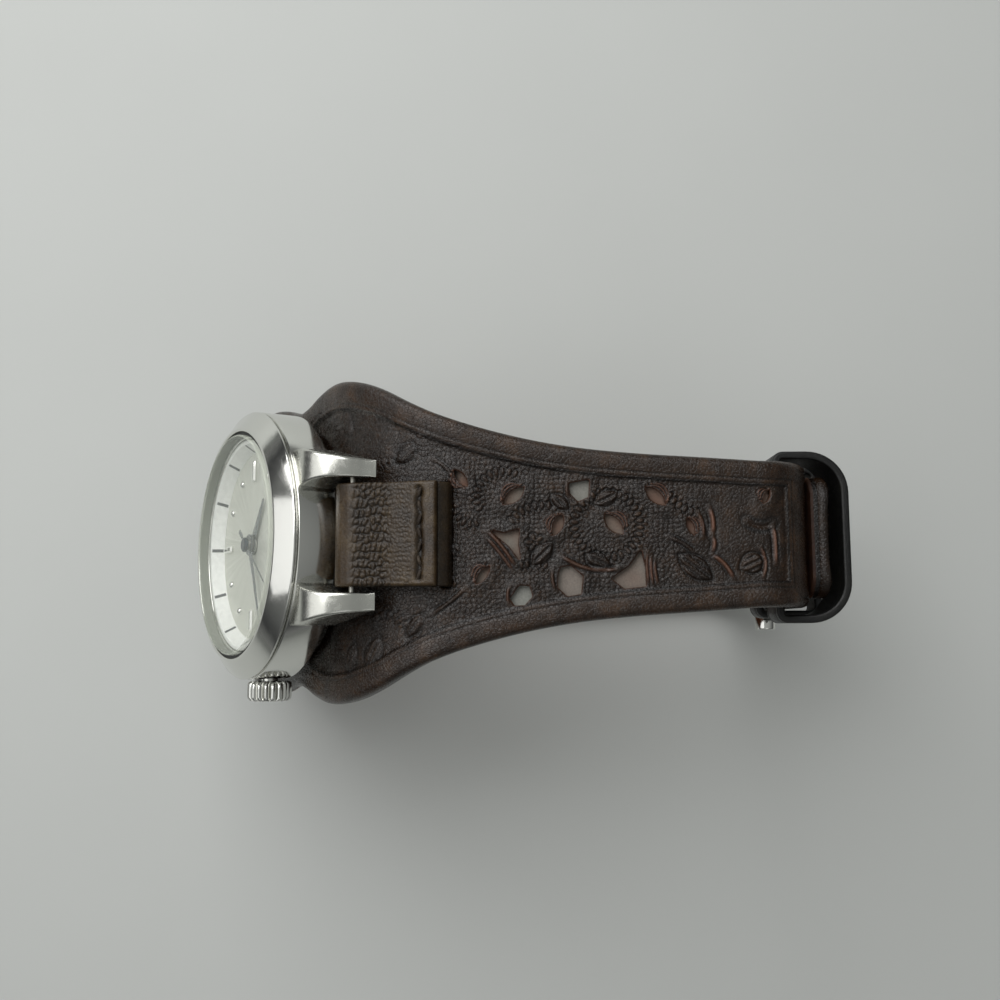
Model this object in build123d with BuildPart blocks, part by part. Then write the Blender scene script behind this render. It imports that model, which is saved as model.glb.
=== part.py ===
"""Cuff watch: a round steel watch on a tooled leather cuff closed by a buckle.

The closed loop lies on its flat side. +Z is up, the dial faces -Y and leans
back, twelve o'clock is the upper end of the dial and the crown points to +X.
"""

import os
from math import atan, atan2, cos, degrees, hypot, radians, sin

from build123d import *

os.makedirs("parts", exist_ok=True)

# Driving dimensions of the whole loop
half_length = 44.55
dial_tilt = 33.0
top_bend_radius = 20.0
front_bend_radius = 12.0
back_bend_radius = 7.0
top_flat_inset = 6.0
front_flat_inset = 4.0
back_reach = 6.05
fit_gap = 0.1
turn_gap = 0.07

# Case, bezel and crystal: walls and insets from the case's side, depths below the bezel's edge
case_radius = 18.0
case_wall = 2.6
ledge_wall = 3.7
groove_inset = 0.3
groove_top = 0.3
groove_bottom = 0.6
ledge_depth = 1.7
case_depth = 6.0
case_chamfer = 0.45
crystal_inset = 3.2
crystal_seat = 0.55
crystal_rise = 2.1
crystal_edge = 0.25
gasket_inset = 2.8
bezel_rise = 1.75
bezel_flat = 0.3
ring_rise = 0.4
ring_width = 1.6
ring_top_width = 0.55
back_inset = 1.5
back_thickness = 1.3
back_skin = 0.8
back_chamfer = 0.5
back_wall = 0.9
plug_height = 0.3
seal_width = 0.4
seal_depth = 0.15

# Dial, markers and hands: gaps are to the foot of the chapter ring
dial_depth = 1.3
dial_thickness = 0.4
baton_gap = 1.0
baton_length = 2.9
baton_width = 0.9
baton_height = 0.5
dome_radius = 0.5
dome_gap = 2.4
dome_share = 0.8
hand_thickness = 0.16
hand_tip_share = 0.4
hour_level = 1.0
hour_gap = 5.4
hour_width = 1.5
minute_level = 0.6
minute_gap = 2.2
minute_width = 1.25
second_level = 0.15
second_gap = 3.2
second_tail = 3.4
second_width = 0.28
hub_radius = 1.0
hub_rise = 0.35
boss_wall = 0.25
hour_angle = 305.0
minute_angle = 66.0
second_angle = 36.0

# Lugs and spring bars
lug_inner = 7.0
lug_width = 4.2
lug_tip_width = 2.4
lug_root_inset = 6.0
lug_length = 4.7
lug_nose_length = 0.6
lug_shoulder = 0.8
lug_height = 2.6
lug_bulge = 0.55
bar_distance = 2.5
bar_drop = 0.5
bar_radius = 0.75
bar_end_gap = 0.8
bar_bore_length = 2.7
tip_radius = 0.35
tip_grip = 0.75
tip_length = 2.75
lug_hole_length = 1.0

# Crown, stem and sliding pinion
crown_depth = 3.9
crown_radius = 2.95
crown_gap = 0.25
crown_length = 2.65
crown_cap = 0.8
crown_edge = 0.35
flute_count = 20
flute_radius = 0.24
tube_radius = 1.1
tube_bore = 0.55
tube_entry = 0.4
tube_height = 0.65
recess_radius = 1.6
recess_gap = 0.25
stem_radius = 0.45
stem_start_share = 0.59
clutch_start_share = 0.697
clutch_length = 2.0
clutch_radius = 0.9
clutch_teeth = 12

# Movement: shares are of the plate's radius
holder_wall = 3.0
holder_height = 3.9
plate_top = 2.7
plate_bottom = 3.7
rim_width = 0.8
bridge_top = 4.9
bridge_bottom = 5.3
bridge_share = 0.73
arbor_radius = 0.2
arbor_top = 3.2
arbor_bottom = 5.2
second_arbor = 0.25
cannon_bore = 0.32
cannon_step = 0.03
cannon_top = 0.3
cannon_bottom = 4.0
hour_tube_wall = 0.38
hour_tube_top = 0.85
dial_hole_gap = 0.15
pinion_teeth = 6
third_teeth = 45
centre_teeth = 48
seconds_teeth = 36
relay_teeth = 30
cannon_teeth = 10
minute_teeth = 30
motion_pinion_teeth = 8
hour_teeth = 32
third_angle = 200.0
relay_angle = 80.0
rotor_turn = 20.0
motion_angle = 300.0
third_place_share = 0.41
relay_place_share = 0.413
rotor_place_share = 0.266
motion_place_share = 0.328
cannon_span = (2.35, 2.65)
centre_span = (3.8, 3.95)
second_pinion_span = (4.1, 4.5)
seconds_span = (4.5, 4.65)
hour_span = (2.05, 2.25)
minute_span = (2.4, 2.6)
minute_pinion_span = (2.0, 2.4)
third_span = (4.15, 4.3)
third_pinion_span = (3.78, 4.15)
relay_span = (4.2, 4.35)
relay_pinion_span = (4.35, 4.7)
rotor_pinion_span = (4.1, 4.4)
magnet_span = (3.78, 4.1)
tooth_tip_share = 0.9
tooth_root_share = 1.1
tip_share = 0.12
root_share = 0.3
motion_post_rise = 0.8
post_radius = 0.8
post_shares = ((0.648, 140.0), (0.648, 250.0), (0.574, 325.0))
screw_radius = 0.3
screw_head = 0.65
screw_head_height = 0.25
screw_length = 1.0
battery_top = 3.4
battery_bottom = 5.5
battery_share = 0.279
battery_place_shares = (0.246, -0.639)
clamp_width = 1.6
clamp_thickness = 0.15
clamp_gap = 0.9
coil_place_share = 0.836
coil_half_share = 0.361
coil_gap = 0.3
core_half_share = 0.451
core_width = 0.8
coil_level = 3.8
magnet_share = 0.074
stator_start_share = 0.484
stator_end_share = 0.73
stator_thickness = 0.2
stator_gap = 0.25
board_share = 0.705
board_edge_share = 0.262
board_thickness = 0.2

# Leather: the runs are seen from above and, for the lower one, square to a slanted plane
lower_look = 50.0
cuff_half = 20.9
upper_thickness = 1.2
underlay_thickness = 0.4
lining_thickness = 1.0
end_half = 8.9
tail_inset = 1.2
field_depth = 0.5
wide_border = 3.6
slim_border = 2.5
tab_side_gap = 0.7
ply_thickness = 1.25
slot_width = 1.4
tip_round = 3.0
tip_overhang = 0.8
step_drop = 10.5
step_length = 7.5
hole_radius = 1.0
hole_pitch = 6.5
window_depth = 3.0
prong_hole_length = 3.4

# Buckle and keepers
buckle_height = 27.0
buckle_bar_radius = 0.6
buckle_bar_inset = 0.5
buckle_eye = 0.65
fold_overhang = 0.2
prong_slot_half = 1.05
frame_side_gap = 2.8
frame_rod = 2.2
frame_thickness = 2.0
frame_drop = 11.5
frame_stand = 1.45
frame_corner = 3.0
frame_eye = 1.4
prong_half = 0.75
prong_thickness = 0.9
prong_rise = 1.15
prong_fall = 1.65
keeper_wall = 1.0
fixed_keeper_length = 4.4
free_keeper_length = 5.8
free_keeper_rise = 1.55
free_keeper_side_gap = 1.9
free_keeper_inner_gap = 1.6
keeper_round = 1.4
keeper_bow = 4.6

# Tab and keyless work details
tab_length = 11.4
tab_blend = 5.2
tab_lift_angle = 12.0
leg_gap = 0.15

# Widths of the cuff: shares of the run's length and of the half width
run_shares = (0.0, 0.045, 0.095, 0.16, 0.226, 0.277, 0.32, 0.364, 0.415, 0.466, 0.524, 0.582, 0.67, 0.786,
              0.895, 1.0)
half_shares = (0.905, 0.93, 0.972, 1.0, 0.981, 0.938, 0.88, 0.809, 0.734, 0.672, 0.615, 0.567, 0.514,
               0.474, 0.45, 0.426)
field_start_share = 0.07
field_end_share = 0.95

# Cut windows, all but the turn as shares of the run or of the half width:
# place along, place across, half length, half width, turn in degrees
leaf_shares = (
    (0.47, -0.33, 0.06, 0.021, 24.0),
    (0.565, -0.225, 0.07, 0.036, -45.0),
    (0.643, -0.046, 0.055, 0.036, 0.0),
    (0.738, -0.057, 0.07, 0.04, 45.0),
    (0.514, 0.234, 0.058, 0.019, -60.0),
    (0.879, -0.038, 0.038, 0.019, 30.0),
)
round_shares = (
    (0.683, -0.253, 0.046),
    (0.58, 0.335, 0.055),
    (0.664, 0.273, 0.074),
)
corner_shares = (
    ((0.519, -0.019), (0.58, -0.033), (0.582, 0.167)),
    ((0.799, 0.081), (0.738, 0.249), (0.814, 0.301)),
)

# Case sizes that follow from its radius and depth
bore_radius = case_radius - case_wall
ledge_radius = case_radius - ledge_wall
groove_radius = case_radius - groove_inset
crystal_radius = case_radius - crystal_inset
gasket_radius = case_radius - gasket_inset
ring_outer = ledge_radius - fit_gap
ring_upper = ring_outer - ring_top_width
ring_lower = ring_outer - ring_width
dial_radius = ring_outer - fit_gap
back_radius = case_radius - back_inset
back_depth = case_depth + back_thickness
back_floor = back_depth - back_skin
back_plug = bore_radius - fit_gap
back_pocket = back_plug - back_wall
plug_rise = case_depth - plug_height
seal_inner = bore_radius + fit_gap
seal_outer = seal_inner + seal_width
seat_depth = back_depth + fit_gap
baton_end = ring_lower - baton_gap
baton_start = baton_end - baton_length
dome_place = ring_lower - dome_gap
hour_length = ring_lower - hour_gap
minute_length = ring_lower - minute_gap
second_length = ring_lower - second_gap
lug_outer = lug_inner + lug_width
lug_tip = lug_inner + lug_tip_width
lug_root = case_radius - lug_root_inset
lug_reach = case_radius + lug_length
lug_nose = lug_reach + lug_nose_length
lug_floor = case_depth + lug_height
bar_place = case_radius + bar_distance
bar_depth = case_depth + bar_drop
bar_half = lug_inner - bar_end_gap
bar_bore_end = bar_half - bar_bore_length
tip_outer = lug_inner + tip_grip
tip_inner = tip_outer - tip_length
crown_start = case_radius + crown_gap
crown_end = crown_start + crown_length
tube_start = bore_radius - tube_entry
tube_end = crown_start + tube_height
recess_end = tube_end + recess_gap

# Movement sizes that follow from the case's bore
holder_radius = back_plug - fit_gap
plate_radius = holder_radius - holder_wall
rim_radius = plate_radius - rim_width
bridge_radius = bridge_share * plate_radius
third_distance = third_place_share * plate_radius
relay_distance = relay_place_share * plate_radius
rotor_distance = rotor_place_share * plate_radius
motion_distance = motion_place_share * plate_radius
train_module = 2 * third_distance / (pinion_teeth + third_teeth)
centre_module = 2 * third_distance / (pinion_teeth + centre_teeth)
second_module = 2 * relay_distance / (pinion_teeth + seconds_teeth)
rotor_module = 2 * rotor_distance / (pinion_teeth + relay_teeth)
motion_module = 2 * motion_distance / (cannon_teeth + minute_teeth)
cannon_radius = motion_module * (cannon_teeth / 2 - tooth_root_share) - cannon_step
hour_tube_bore = cannon_radius + turn_gap
hour_tube = hour_tube_bore + hour_tube_wall
dial_hole = hour_tube + dial_hole_gap
hand_boss = hour_tube + boss_wall
battery_radius = battery_share * plate_radius
battery_place = tuple(share * plate_radius for share in battery_place_shares)
clamp_post = battery_radius + clamp_gap
stator_start = stator_start_share * plate_radius
stator_end = stator_end_share * plate_radius
magnet_radius = magnet_share * plate_radius
stator_hole = magnet_radius + stator_gap
coil_place = coil_place_share * plate_radius
coil_half = coil_half_share * plate_radius
coil_radius = coil_place - stator_end - coil_gap
core_half = core_half_share * plate_radius
board_radius = board_share * plate_radius
board_edge = board_edge_share * plate_radius
stem_start = stem_start_share * plate_radius
stem_end = crown_end - crown_cap
clutch_start = clutch_start_share * plate_radius
clutch_end = clutch_start + clutch_length

# Leather, buckle and keeper sizes that follow
flat_above = case_radius - top_flat_inset
flat_below = case_radius - front_flat_inset
tail_half = end_half - tail_inset
tab_half = lug_inner - tab_side_gap
frame_half = end_half + frame_side_gap
buckle_bar_half = frame_half - buckle_bar_inset
free_keeper_half = end_half + free_keeper_side_gap
step_start = buckle_height - step_drop
step_end = step_start + step_length
frame_bar_height = buckle_height - frame_drop

lean_sin = sin(radians(dial_tilt))
lean_cos = cos(radians(dial_tilt))
strap_thickness = upper_thickness + underlay_thickness + lining_thickness
head_y = case_radius * lean_sin - half_length
head_z = front_bend_radius * (1 + lean_sin) + flat_below * lean_cos + seat_depth * lean_sin
dial_normal = (0, -lean_cos, lean_sin)
dial_up = (0, lean_sin, lean_cos)
reach = 2 * cuff_half
back_y = half_length - back_reach
bend_y = back_y - back_bend_radius


def head_point(up, out):
    """Place in the side view from a height on the dial and a rise off it."""
    y = head_y + up * lean_sin - out * lean_cos
    z = head_z + up * lean_cos + out * lean_sin
    return (y, z)


def polar(centre, radius, angle):
    """Point at an angle in degrees on a circle."""
    return (centre[0] + radius * cos(radians(angle)), centre[1] + radius * sin(radians(angle)))


def spot(distance, angle):
    """Point at a distance and an angle in degrees from the dial's centre."""
    return polar((0, 0), distance, angle)


def dial_plane(out, turn):
    """Plane across the dial's axis, with its first axis turned anticlockwise from three o'clock."""
    across = cos(radians(turn))
    up = sin(radians(turn))
    return Plane(
        origin=(0, *head_point(0, out)),
        x_dir=(across, up * lean_sin, up * lean_cos),
        z_dir=dial_normal,
    )


top_centre = head_point(flat_above, -seat_depth - top_bend_radius)
front_centre = head_point(-flat_below, -seat_depth - front_bend_radius)
loop_top = top_centre[1] + top_bend_radius
start_angle = 180.0 - dial_tilt
run_length = flat_above + top_bend_radius * radians(start_angle - 90) + bend_y - top_centre[0]
tail_y = back_y + fit_gap + strap_thickness
frame_bar_y = back_y + frame_stand
nose_radius = buckle_bar_radius + fit_gap + upper_thickness
buckle_y = back_y - nose_radius
lining_end = buckle_height + nose_radius
free_keeper_end = loop_top - back_bend_radius + free_keeper_rise
free_keeper_start = free_keeper_end - free_keeper_length
fixed_keeper_start = (buckle_height + frame_eye + free_keeper_start - fixed_keeper_length) / 2
fixed_keeper_end = fixed_keeper_start + fixed_keeper_length
fold_end = fixed_keeper_end + fold_overhang
tail_tip = free_keeper_end + tip_overhang

head = Plane(origin=(0, head_y, head_z), x_dir=(1, 0, 0), z_dir=dial_normal)
section = Plane(origin=head.origin, x_dir=(1, 0, 0), z_dir=(0, -lean_sin, -lean_cos))
profile = Plane(origin=head.origin, x_dir=dial_up, z_dir=(1, 0, 0))
dial_axis = Axis(head.origin, dial_normal)
crown_axis = Axis((0, *head_point(0, -crown_depth)), (1, 0, 0))
lower_plane = Plane(
    origin=(0, 0, 0),
    x_dir=(1, 0, 0),
    z_dir=(0, sin(radians(lower_look)), cos(radians(lower_look))),
)


def upper_run(depth):
    """Corners of the run from the case over the top, at a depth in the leather."""
    return (
        head_point(0, -seat_depth - depth),
        head_point(flat_above, -seat_depth - depth),
        polar(top_centre, top_bend_radius - depth, (start_angle + 90) / 2),
        polar(top_centre, top_bend_radius - depth, 90),
        (bend_y, loop_top - depth),
    )


def lower_run(depth):
    """Corners of the run from the case round the front and along the bottom."""
    return (
        head_point(0, -seat_depth - depth),
        head_point(-flat_below, -seat_depth - depth),
        polar(front_centre, front_bend_radius - depth, (start_angle + 270) / 2),
        polar(front_centre, front_bend_radius - depth, 270),
        (bend_y, depth),
    )


def upper_place(distance):
    """Place on the outside of the upper run, a distance along from the case."""
    turn = distance - flat_above
    arc = top_bend_radius * radians(start_angle - 90)
    if turn <= 0:
        return head_point(distance, -seat_depth)
    if turn <= arc:
        return polar(top_centre, top_bend_radius, start_angle - degrees(turn / top_bend_radius))
    return (top_centre[0] + turn - arc, loop_top)


def lower_place(distance):
    """Place on the outside of the lower run, a distance along from the case."""
    turn = distance - flat_below
    arc = front_bend_radius * radians(270 - start_angle)
    if turn <= 0:
        return head_point(-distance, -seat_depth)
    if turn <= arc:
        return polar(front_centre, front_bend_radius, start_angle + degrees(turn / front_bend_radius))
    return (front_centre[0] + turn - arc, 0)


def look_along(point):
    """Height of a side view point on the slanted plane that the lower run is cut from."""
    return point[0] * cos(radians(lower_look)) - point[1] * sin(radians(lower_look))


def half_edges(border):
    """Distances along the run with the half width there, less a border."""
    places = []
    for run_share, half_share in zip(run_shares, half_shares):
        fade = slim_border / wide_border + (1 - slim_border / wide_border) * half_share
        places.append((run_share * run_length, half_share * cuff_half - border * fade))
    return places


def upper_edge(border, first, last):
    """Outline points of the upper run, seen from above, between two shares."""
    return [
        (half, upper_place(distance)[0])
        for distance, half in half_edges(border)
        if first * run_length <= distance <= last * run_length
    ]


def lower_edge(border, first, last):
    """Outline points of the lower run on its slanted plane, between two shares."""
    edge = [
        (half, look_along(lower_place(distance)))
        for distance, half in half_edges(border)
        if first * run_length <= distance <= last * run_length
    ]
    if last >= 1.0:
        edge.append((tail_half, look_along((bend_y, 0))))
    return edge


def bent_line(points):
    """Straight, arc, straight through five corners."""
    Line(points[0], points[1])
    ThreePointArc(points[1], points[2], points[3])
    Line(points[3], points[4])


def strap_run(run, near, far, plane, edge, over):
    """Bent band between two depths, cut to an outline seen square to a plane."""
    with BuildPart() as band:
        with BuildSketch(Plane.YZ):
            with BuildLine():
                bent_line(run(near))
                bent_line(run(far))
                Line(run(near)[0], run(far)[0])
                Line(run(near)[-1], run(far)[-1])
            make_face()
        extrude(amount=reach, both=True)
        first, last = edge[0], edge[-1]
        with BuildSketch(plane):
            with BuildLine():
                Spline(*edge)
                Spline(*[(-half, place) for half, place in edge])
                Line(last, (last[0], last[1] + over))
                Line((last[0], last[1] + over), (-last[0], last[1] + over))
                Line((-last[0], last[1] + over), (-last[0], last[1]))
                Line(first, (first[0], first[1] - over))
                Line((first[0], first[1] - over), (-first[0], first[1] - over))
                Line((-first[0], first[1] - over), (-first[0], first[1]))
            make_face()
        extrude(amount=2 * reach, both=True, mode=Mode.INTERSECT)
    return band.part


step_rise = tail_y - back_y
step_turn = 2 * degrees(atan(step_rise / (step_end - step_start)))
step_radius = (step_end - step_start) / 2 / sin(radians(step_turn))
low_step = (back_y + step_radius, step_start)
high_step = (tail_y - step_radius, step_end)


def trace_top_end(depth, end):
    """Bend at the top of the back and the straight down to the buckle."""
    centre = (bend_y, loop_top - back_bend_radius)
    ThreePointArc(
        polar(centre, back_bend_radius - depth, 90),
        polar(centre, back_bend_radius - depth, 45),
        polar(centre, back_bend_radius - depth, 0),
    )
    Line(polar(centre, back_bend_radius - depth, 0), (back_y - depth, end))


def trace_tail(depth):
    """Bend at the foot of the back, the step out through the buckle, the tail."""
    centre = (bend_y, back_bend_radius)
    ThreePointArc(
        polar(centre, back_bend_radius - depth, 270),
        polar(centre, back_bend_radius - depth, 315),
        polar(centre, back_bend_radius - depth, 0),
    )
    Line(polar(centre, back_bend_radius - depth, 0), (back_y - depth, step_start))
    ThreePointArc(
        polar(low_step, step_radius + depth, 180),
        polar(low_step, step_radius + depth, 180 - step_turn / 2),
        polar(low_step, step_radius + depth, 180 - step_turn),
    )
    ThreePointArc(
        polar(high_step, step_radius - depth, -step_turn),
        polar(high_step, step_radius - depth, -step_turn / 2),
        polar(high_step, step_radius - depth, 0),
    )
    Line((tail_y - depth, step_end), (tail_y - depth, tail_tip))


def strap_layer(near, far):
    """One layer of leather from the buckle, behind the case, to the tail's tip."""
    top = strap_run(upper_run, near, far, Plane.XY, upper_edge(0, 0, 1), fit_gap)
    low = strap_run(lower_run, near, far, lower_plane, lower_edge(0, 0, 1), strap_thickness)
    with BuildPart() as tail:
        with BuildSketch(Plane.YZ):
            with BuildLine():
                trace_tail(near)
                trace_tail(far)
                Line((bend_y, near), (bend_y, far))
                Line((tail_y - near, tail_tip), (tail_y - far, tail_tip))
            make_face()
        extrude(amount=tail_half, both=True)
        fillet(tail.edges().filter_by(Axis.Y).sort_by(Axis.Z)[-2:], radius=tip_round)
    with BuildPart() as layer:
        add(top)
        add(low)
        add(tail)
        with BuildSketch(Plane.YZ):
            with BuildLine():
                trace_top_end(near, lining_end)
                trace_top_end(far, lining_end)
                Line((bend_y, loop_top - near), (bend_y, loop_top - far))
                Line((back_y - near, lining_end), (back_y - far, lining_end))
            make_face()
        extrude(amount=end_half, both=True)
    return layer.part


def outline_windows(place, level):
    """Faces of the cut windows on a level plane, for one run of the cuff."""
    with BuildSketch(Plane.XY.offset(level)) as windows:
        for along, across, length, width, turn in leaf_shares:
            with Locations((across * cuff_half, place(along * run_length)[0])):
                Ellipse(length * cuff_half, width * cuff_half, rotation=turn)
        for along, across, radius in round_shares:
            with Locations((across * cuff_half, place(along * run_length)[0])):
                Circle(radius * cuff_half)
        for corners in corner_shares:
            spots = [(across * cuff_half, place(along * run_length)[0]) for along, across in corners]
            with BuildLine():
                Polyline(*spots, close=True)
            make_face()
    return windows.sketch


def sector(centre, inner, outer, first, last):
    """Closed outline between two radii and two angles."""
    middle = (first + last) / 2
    ThreePointArc(polar(centre, inner, first), polar(centre, inner, middle), polar(centre, inner, last))
    ThreePointArc(polar(centre, outer, first), polar(centre, outer, middle), polar(centre, outer, last))
    Line(polar(centre, inner, first), polar(centre, outer, first))
    Line(polar(centre, inner, last), polar(centre, outer, last))


def angle_of(centre, point):
    """Angle in degrees of a point round a centre."""
    return degrees(atan2(point[1] - centre[1], point[0] - centre[0])) % 360


bar_points = {"12": head_point(bar_place, -bar_depth), "6": head_point(-bar_place, -bar_depth)}
bends = {"12": (top_centre, top_bend_radius, -1), "6": (front_centre, front_bend_radius, 1)}
inside_ply = fit_gap
outside_ply = fit_gap + 2 * ply_thickness


def slot_angles(side):
    """Angles where the cuff's slot for a tab starts and ends."""
    centre, bend, turn = bends[side]
    start = angle_of(centre, bar_points[side]) + turn * degrees(tab_length / (bend + outside_ply))
    return start, start + turn * degrees(slot_width / bend)


strap_cut = Plane(origin=(0, back_y, 0), x_dir=(1, 0, 0), z_dir=(0, -1, 0))
tail_cut = strap_cut.offset(-fit_gap / 2)
prong_hole_height = (step_start + step_end) / 2
upper_holes = range(1, 1 + int((tail_tip - tip_round - prong_hole_height) / hole_pitch))


def tail_holes():
    """Cutters for the row of holes in the tail and the one that the prong is in."""
    with BuildPart() as cutters:
        with BuildSketch(tail_cut):
            with Locations(*[(0, prong_hole_height + hole_pitch * place) for place in upper_holes]):
                Circle(hole_radius)
        extrude(amount=-2 * strap_thickness)
        with BuildSketch(strap_cut.offset(strap_thickness)):
            with Locations((0, prong_hole_height - hole_pitch)):
                Circle(hole_radius)
            with Locations((0, prong_hole_height)):
                SlotOverall(prong_hole_length, 2 * hole_radius, rotation=90)
        extrude(amount=-3 * strap_thickness)
    return cutters.part


# Leather of the cuff
upper_layer = strap_layer(0, upper_thickness)
upper_field = strap_run(
    upper_run,
    -fit_gap,
    field_depth,
    Plane.XY,
    upper_edge(wide_border, field_start_share, field_end_share),
    fit_gap,
)
lower_field = strap_run(
    lower_run,
    -fit_gap,
    field_depth,
    lower_plane,
    lower_edge(wide_border, field_start_share, field_end_share),
    fit_gap,
)
holes = tail_holes()

with BuildPart() as cuff_upper:
    add(upper_layer)
    with BuildSketch(Plane.YZ):
        with BuildLine():
            Line((back_y, lining_end), (back_y, buckle_height))
            ThreePointArc(
                (back_y, buckle_height),
                (buckle_y, buckle_height - nose_radius),
                (buckle_y - nose_radius, buckle_height),
            )
            Line((buckle_y - nose_radius, buckle_height), (buckle_y - nose_radius, fold_end))
            Line((buckle_y - nose_radius, fold_end), (back_y - strap_thickness, fold_end))
            Line((back_y - strap_thickness, fold_end), (back_y - strap_thickness, buckle_height))
            ThreePointArc(
                (back_y - strap_thickness, buckle_height),
                (buckle_y, buckle_height - nose_radius + upper_thickness),
                (back_y - upper_thickness, buckle_height),
            )
            Line((back_y - upper_thickness, buckle_height), (back_y - upper_thickness, lining_end))
            Line((back_y - upper_thickness, lining_end), (back_y, lining_end))
        make_face()
    extrude(amount=end_half, both=True)
    add(upper_field, mode=Mode.SUBTRACT)
    add(lower_field, mode=Mode.SUBTRACT)
    add(holes, mode=Mode.SUBTRACT)
    extrude(outline_windows(upper_place, loop_top), amount=-window_depth, mode=Mode.SUBTRACT)
    extrude(outline_windows(lower_place, 0), amount=window_depth, mode=Mode.SUBTRACT)
    for side in bends:
        centre, bend, turn = bends[side]
        with BuildSketch(Plane.YZ):
            with BuildLine():
                sector(centre, bend - upper_thickness, bend + fit_gap, *slot_angles(side))
            make_face()
        extrude(amount=tab_half + fit_gap, both=True, mode=Mode.SUBTRACT)
    with BuildSketch(tail_cut):
        with Locations((0, buckle_height)):
            Rectangle(2 * prong_slot_half, 2 * nose_radius + fit_gap)
    extrude(amount=2 * strap_thickness, mode=Mode.SUBTRACT)

with BuildPart() as cuff_underlay:
    add(strap_layer(upper_thickness, upper_thickness + underlay_thickness))
    add(holes, mode=Mode.SUBTRACT)

with BuildPart() as cuff_lining:
    add(strap_layer(upper_thickness + underlay_thickness, strap_thickness))
    add(holes, mode=Mode.SUBTRACT)


def tab(side):
    """Leather tab folded round a spring bar, with a leg down into the cuff."""
    centre, bend, turn = bends[side]
    bar = bar_points[side]
    bar_angle = angle_of(centre, bar)
    slot_start, slot_end = slot_angles(side)
    leg_start = slot_start + turn * degrees(leg_gap / bend)
    leg_end = slot_end - turn * degrees(leg_gap / bend)
    nose = bar_radius + fit_gap + ply_thickness
    blend = degrees(tab_blend / (bend + outside_ply))
    with BuildPart() as folded:
        with BuildSketch(Plane.YZ):
            with BuildLine():
                sector(centre, bend + inside_ply, bend + outside_ply, bar_angle, slot_start)
            make_face()
            with BuildLine():
                sector(centre, bend + inside_ply, bend + inside_ply + ply_thickness, slot_start, leg_end)
            make_face()
            with BuildLine():
                sector(centre, bend - upper_thickness, bend + inside_ply + ply_thickness, leg_start, leg_end)
            make_face()
            with BuildLine():
                Polyline(
                    bar,
                    polar(bar, nose, bar_angle + turn * (blend + tab_lift_angle)),
                    polar(centre, bend + outside_ply, bar_angle + turn * blend),
                    polar(centre, bend + inside_ply + ply_thickness, bar_angle + turn * blend),
                    close=True,
                )
            make_face()
            with Locations(bar):
                Circle(nose)
                Circle(bar_radius + fit_gap, mode=Mode.SUBTRACT)
        extrude(amount=tab_half, both=True)
    return folded


tab_12 = tab("12")
tab_6 = tab("6")

# Case, bezel and glass
with BuildPart() as case_middle:
    with BuildSketch(profile):
        with BuildLine():
            Line((lug_root, -lug_shoulder), (case_radius, -lug_shoulder))
            ThreePointArc(
                (case_radius, -lug_shoulder),
                ((case_radius + lug_reach) / 2 + lug_bulge, -(lug_shoulder + bar_depth) / 2 + lug_bulge),
                (lug_reach, -bar_depth),
            )
            Line((lug_reach, -bar_depth), (lug_nose, -lug_floor))
            Line((lug_nose, -lug_floor), (case_radius - lug_shoulder, -case_depth))
            Line((case_radius - lug_shoulder, -case_depth), (lug_root, -case_depth))
            Line((lug_root, -case_depth), (lug_root, -lug_shoulder))
        make_face()
        mirror(about=Plane.YZ)
    extrude(amount=lug_outer, both=True)
    with BuildSketch(head.offset(-lug_floor)):
        with BuildLine():
            Polyline(
                (lug_inner, lug_root),
                (lug_outer, lug_root),
                (lug_outer, case_radius - lug_shoulder),
                (lug_tip, lug_nose),
                (lug_inner, lug_nose),
                close=True,
            )
        make_face()
        mirror(about=Plane.YZ)
        mirror(about=Plane.XZ)
    extrude(amount=lug_floor, mode=Mode.INTERSECT)
    with BuildSketch(section):
        with BuildLine():
            Polyline(
                (ledge_radius, -groove_bottom),
                (case_radius, -groove_bottom),
                (case_radius, case_chamfer - case_depth),
                (case_radius - case_chamfer, -case_depth),
                (ledge_radius, -case_depth),
                close=True,
            )
        make_face()
    revolve(axis=dial_axis)
    with BuildSketch(section):
        with Locations((bore_radius / 2, -(ledge_depth + case_depth) / 2)):
            Rectangle(bore_radius, case_depth - ledge_depth)
        with Locations((ledge_radius / 2, -ledge_depth / 2)):
            Rectangle(ledge_radius, ledge_depth)
    revolve(axis=dial_axis, mode=Mode.SUBTRACT)
    with BuildSketch(profile):
        with Locations((bar_place, -bar_depth), (-bar_place, -bar_depth)):
            Circle(tip_radius + turn_gap)
    extrude(amount=lug_inner + lug_hole_length, both=True, mode=Mode.SUBTRACT)
    with BuildSketch(profile):
        with Locations((0, -crown_depth)):
            Circle(tube_radius)
    extrude(amount=crown_end, mode=Mode.SUBTRACT)

with BuildPart() as bezel:
    with BuildSketch(section):
        with BuildLine():
            Polyline(
                (ledge_radius, -groove_bottom),
                (groove_radius, -groove_bottom),
                (groove_radius, -groove_top),
                (case_radius, -groove_top),
                (case_radius, 0),
                (gasket_radius + bezel_flat, bezel_rise),
                (gasket_radius, bezel_rise),
                (gasket_radius, crystal_seat),
                (ledge_radius, crystal_seat),
                close=True,
            )
        make_face()
    revolve(axis=dial_axis)

with BuildPart() as crystal:
    with BuildSketch(head.offset(crystal_seat)):
        Circle(crystal_radius)
    extrude(amount=crystal_rise - crystal_seat)
    chamfer(crystal.edges().group_by(Axis(head.origin, dial_normal))[-1], length=crystal_edge)

with BuildPart() as crystal_gasket:
    with BuildSketch(head.offset(crystal_seat)):
        Circle(gasket_radius)
        Circle(crystal_radius, mode=Mode.SUBTRACT)
    extrude(amount=bezel_rise - crystal_seat - bezel_flat)

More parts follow.
